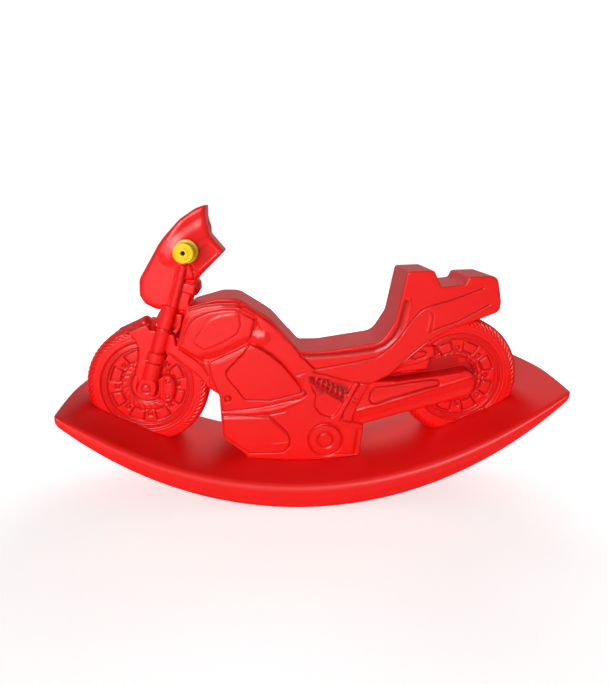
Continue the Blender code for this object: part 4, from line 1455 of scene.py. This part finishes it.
    def sculpt_rear(self, tool: Sculptor) -> None:
        """Swingarm slot and ridge, frame arm, chain guard and the cover round the arm's end.

        Args:
            tool: the sculptor of the dense body.
        """
        slot = ((131, 192), (163, 194.5), (198, 200.4), (238, 205.4), (247, 204.4), (250, 199.4), (246, 195),
            (233, 192.5), (198, 182.6), (163, 172.6), (131, 161.6), (124, 163.6), (120, 169.7), (123, 182.8))
        tool.pad(slot, -1.0, 2.0, Layer.SWINGARM)
        tool.stroke(slot, 2.1, -3.0, Layer.SWINGARM, closed=True)
        ridge = ((97, 148.5), (111, 153.6), (131, 157.6), (163, 166.7), (198, 177.6), (238, 189.5),
            (268, 198.4), (287, 204.4), (309, 210.4))
        tool.strokes(
            (ridge, 20, 3.0),
            (ridge, 3.2, 2.0),
            (((165, 200), (210, 206.5), (250, 211), (290, 216.5)), 3.2, 1.4),
            layer=Layer.SWINGARM)
        arm_slot = ((195.8, 247.3), (205.8, 258.3), (220.7, 259.3), (224.7, 255.3), (220.7, 250.3),
            (203.8, 244.3))
        tool.pad(arm_slot, -1.2, 2.0, Layer.REAR_FRAME)
        tool.stroke(arm_slot, 1.9, -2.6, Layer.REAR_FRAME, closed=True)
        tool.stroke(((189, 232.4), (218.7, 242.3), (233.7, 251.3), (238.6, 256.3)), 2.6,
            1.0, Layer.REAR_FRAME)
        for x, z in ((246.5, 254), (241, 263)):
            tool.dot((x, z), 3.4, 1.0, 2.4, Layer.WHEEL)
        tool.stroke(((229, 238), (243, 245), (270, 247), (287, 247), (305, 242), (320, 229), (326, 213),
            (326, 196), (323, 180), (314, 170)), 2.4, -2.4, Layer.WHEEL)

    def sculpt_fork(self, tool: Sculptor) -> None:
        """Brake caliper, axle ring, mudguard marks and shroud.

        Args:
            tool: the sculptor of the dense body.
        """
        tool.stroke(((-260, 211), (-262, 200), (-262, 188), (-264, 182), (-260, 174)), 1.6, -1.6, Layer.FORK)
        tool.strokes(
            (((-265, 214), (-252, 222), (-240, 221), (-233, 208), (-233.5, 187), (-239.5, 170),
             (-250, 164.5)), 2.0, -1.8),
            (((-316, 298), (-302, 285), (-298, 272), (-297.5, 258), (-302.5, 236), (-306, 222), (-300, 210),
             (-305, 195), (-304, 186), (-288, 181.5), (-272, 178), (-265.5, 198), (-266, 212)), 2.0, -2.2),
            layer=Layer.WHEEL)
        for share in (0.3, 0.62, 0.765):
            x = self.fork_top[0] + share * (self.fork_foot[0] - self.fork_top[0])
            z = self.fork_top[1] + share * (self.fork_foot[1] - self.fork_top[1])
            tool.stroke(((x - 15.3, z + 4.8), (x + 15.3, z - 4.8)), 1.6, -1.8, Layer.ANY, facing=0.1)
        tool.dot((-246.5, 208.5), 2.8, 0.4, 1.8, Layer.FORK)
        tool.dot((-249, 178.5), 2.8, 0.4, 1.8, Layer.FORK)
        axle = tuple((-286 + 7.4 * math.cos(t / 3), 196 + 7.4 * math.sin(t / 3)) for t in range(19))
        tool.stroke(axle, 3.2, -1.7, Layer.FORK)
        tool.stroke(((-223, 270), (-200, 253.5), (-184, 240), (-172, 219)), 1.9, -2.2, Layer.SHROUD)
        tool.strokes(
            (((-298, 310), (-288, 313)), 2.2, -1.6),
            (((-297, 315), (-288, 318)), 2.6, 1.0),
            (((-341, 282), (-334, 289)), 4.0, 1.2),
            layer=Layer.ANY)


# Grips, hardware and studio


@dataclass(frozen=True)
class Grip:
    """A turning handlebar grip. Sizes in millimetres."""

    flange_at: float = 47.3
    bore: float = 6.3
    depth: float = 31.3
    screw_bore: float = 2.3
    hole_floor: float = 36.0

    def profile(self) -> list[Point]:
        """Closed profile of flange, barrel and ringed end."""
        ribs = [(14.5 + (0.45 if k % 2 else 0.0), 8.5 + 2.6 * k) for k in range(8)]
        return [
            (self.bore, 0), (19.2, 0), (20.1, 0.35), (20.5, 1.2), (20.5, 3.8), (20.1, 4.65), (19.2, 5),
            (16.2, 5.2), (15.0, 5.8), (14.6, 7.2), *ribs, (14.6, 29.6), (15.4, 30.6), (17.0, 31.4),
            (17.5, 32.6), (17.5, 41.2), (17.2, 42.6), (16.2, 43.8), (14.8, 44.3), (13.9, 43.7), (13.0, 43.7),
            (12.3, 44.5), (11.0, 44.9), (10.2, 44.4), (9.5, 44.6), (8.9, 46.0), (7.8, 46.7), (5.2, 47.0),
            (4.2, 46.8), (3.8, 46.0), (3.8, self.hole_floor), (self.screw_bore, self.hole_floor),
            (self.screw_bore, self.depth), (self.bore, self.depth), (self.bore, 0),
        ]

    def build(self) -> None:
        """Both grips, the left one turned to face the other way."""
        for name, side in (("left", -1), ("right", 1)):
            grip = spun(f"grip_{name}", self.profile(), 96)
            grip.rotation_euler = (0, 0, math.pi if side < 0 else 0.0)
            settle(grip)
            shift(grip, HANDLE[0], side * self.flange_at, HANDLE[1])
            close_seams(grip)
            smooth(grip, 40)
            finish_piece(grip, YELLOW, f"{name}_hand_grip", f"{name}_grip")


@dataclass(frozen=True)
class Hardware:
    """Metal pieces and the plug, whose CAD shapes stay and get a finish."""

    covered: tuple[str, ...] = ("rocker_base", "motorcycle_body", "left_grip", "right_grip")
    finishes: tuple[tuple[str, Finish], ...] = (
        ("blow_hole_plug", RED), ("body_insert", BRASS), ("left_grip_screw", DARK_STEEL),
        ("right_grip_screw", DARK_STEEL),
    )

    def dress(self) -> None:
        """Give each remaining CAD node its material."""
        for name, node in frame["nodes"].items():
            if name in self.covered:
                continue
            finish = next((made for start, made in self.finishes if name.startswith(start)), STEEL)
            node.data.materials.clear()
            node.data.materials.append(finish.material())
            log.info("%s keeps its CAD shape in %s", name, finish.name)


@dataclass(frozen=True)
class Studio:
    """Camera, lamps, floor and white surroundings. Places and sizes in metres."""

    camera_at: Place = (-0.0554, -1.1380, 0.5300)
    camera_turn: Place = (77.08, 0.0, -2.945)
    lens: float = 36.78
    aim: Place = (0.0, 0.0, 0.22)
    ambient: float = 0.18
    gloss_front: float = 0.12
    gloss_back: float = 0.15
    floor_radius: float = 6.0
    floor_colour: float = 0.86
    glow_near: float = 0.60
    glow_far: float = 0.95

    def camera(self) -> None:
        """Camera at the photograph's place."""
        data = bpy.data.cameras.new("camera")
        data.sensor_fit = "HORIZONTAL"
        data.sensor_width = 36.0
        data.lens = self.lens
        data.clip_start = 0.01
        obj = bpy.data.objects.new("camera", data)
        obj.location = self.camera_at
        obj.rotation_euler = [math.radians(a) for a in self.camera_turn]
        bpy.context.scene.collection.objects.link(obj)
        bpy.context.scene.camera = obj

    def lamp(
        self, name: str, at: Place, size: float, power: float, matt: bool = True, gloss: bool = True,
    ) -> None:
        """A square soft lamp that looks at the toy.

        Args:
            name: the lamp's name.
            at: its place.
            size: its side.
            power: its power in watts.
            matt: whether it lights the plastic's own colour.
            gloss: whether it shows in the gloss of the plastic.
        """
        data = bpy.data.lights.new(name, "AREA")
        data.size = size
        data.energy = power
        obj = bpy.data.objects.new(name, data)
        obj.location = at
        obj.rotation_euler = (Vector(self.aim) - Vector(at)).to_track_quat("-Z", "Y").to_euler()
        obj.visible_diffuse, obj.visible_glossy = matt, gloss
        bpy.context.scene.collection.objects.link(obj)

    def world(self) -> None:
        """White surroundings, seen by the camera and by gloss, that light the toy softly."""
        world = bpy.data.worlds.new("studio")
        world.use_nodes = True
        bpy.context.scene.world = world
        tree = world.node_tree
        place = add_node(tree, "SeparateXYZ", {0: add_node(tree, "TexCoord").outputs["Generated"]})
        behind = add_node(tree, "MapRange", {
            "Value": place.outputs["Y"], "From Min": -0.3, "From Max": 0.7, "To Min": self.gloss_front,
            "To Max": self.gloss_back,
        })
        path = add_node(tree, "LightPath").outputs
        seen = calc(tree, "MULTIPLY_ADD", path["Is Glossy Ray"], behind.outputs["Result"], self.ambient)
        strength = calc(tree, "MAXIMUM", seen, path["Is Camera Ray"])
        feed(tree, tree.nodes["Background"], {"Color": (1, 1, 1, 1), "Strength": strength})

    def floor(self) -> None:
        """Pale floor that keeps the toy's shadow, and glows for the camera so that it fades into white."""
        deselect()
        bpy.ops.mesh.primitive_circle_add(vertices=96, radius=self.floor_radius, fill_type="NGON")
        obj = bpy.context.object
        obj.name = "floor"
        made = bpy.data.materials.new("pale_floor")
        made.use_nodes = True
        tree = made.node_tree
        place = add_node(tree, "TexCoord").outputs["Object"]
        away = add_node(tree, "VectorMath", {0: place}, operation="LENGTH")
        reach = add_node(tree, "MapRange", {
            "Value": away.outputs["Value"], "From Min": 0.7, "From Max": 1.8, "To Min": self.glow_near,
            "To Max": self.glow_far,
        })
        camera = add_node(tree, "LightPath").outputs["Is Camera Ray"]
        feed(tree, tree.nodes["Principled BSDF"], {
            "Base Color": (self.floor_colour, self.floor_colour, self.floor_colour, 1), "Roughness": 0.8,
            "Specular IOR Level": 0.2, "Emission Color": (1, 1, 1, 1),
            "Emission Strength": calc(tree, "MULTIPLY", reach.outputs["Result"], camera),
        })
        obj.data.materials.append(made)
        settle(obj)

    def build(self) -> None:
        """Set up the whole studio."""
        self.camera()
        self.world()
        self.lamp("key_softbox", (-0.8, -2.9, 0.6), 1.4, 70.0, gloss=False)
        self.lamp("edge_softbox", (-0.8, -1.9, 1.6), 1.2, 48.0, matt=False)
        self.lamp("back_softbox", (0.6, 2.2, 1.5), 1.5, 34.0, gloss=False)
        self.floor()
        bpy.context.scene.view_settings.view_transform = "Standard"


def main() -> None:
    """Build the toy's looks in order."""
    logging.basicConfig(level=logging.INFO, format="%(message)s")
    Studio().build()
    RockerShape().build()
    MotorcycleBody().build()
    Grip().build()
    Hardware().dress()


if __name__ == "__main__":
    main()
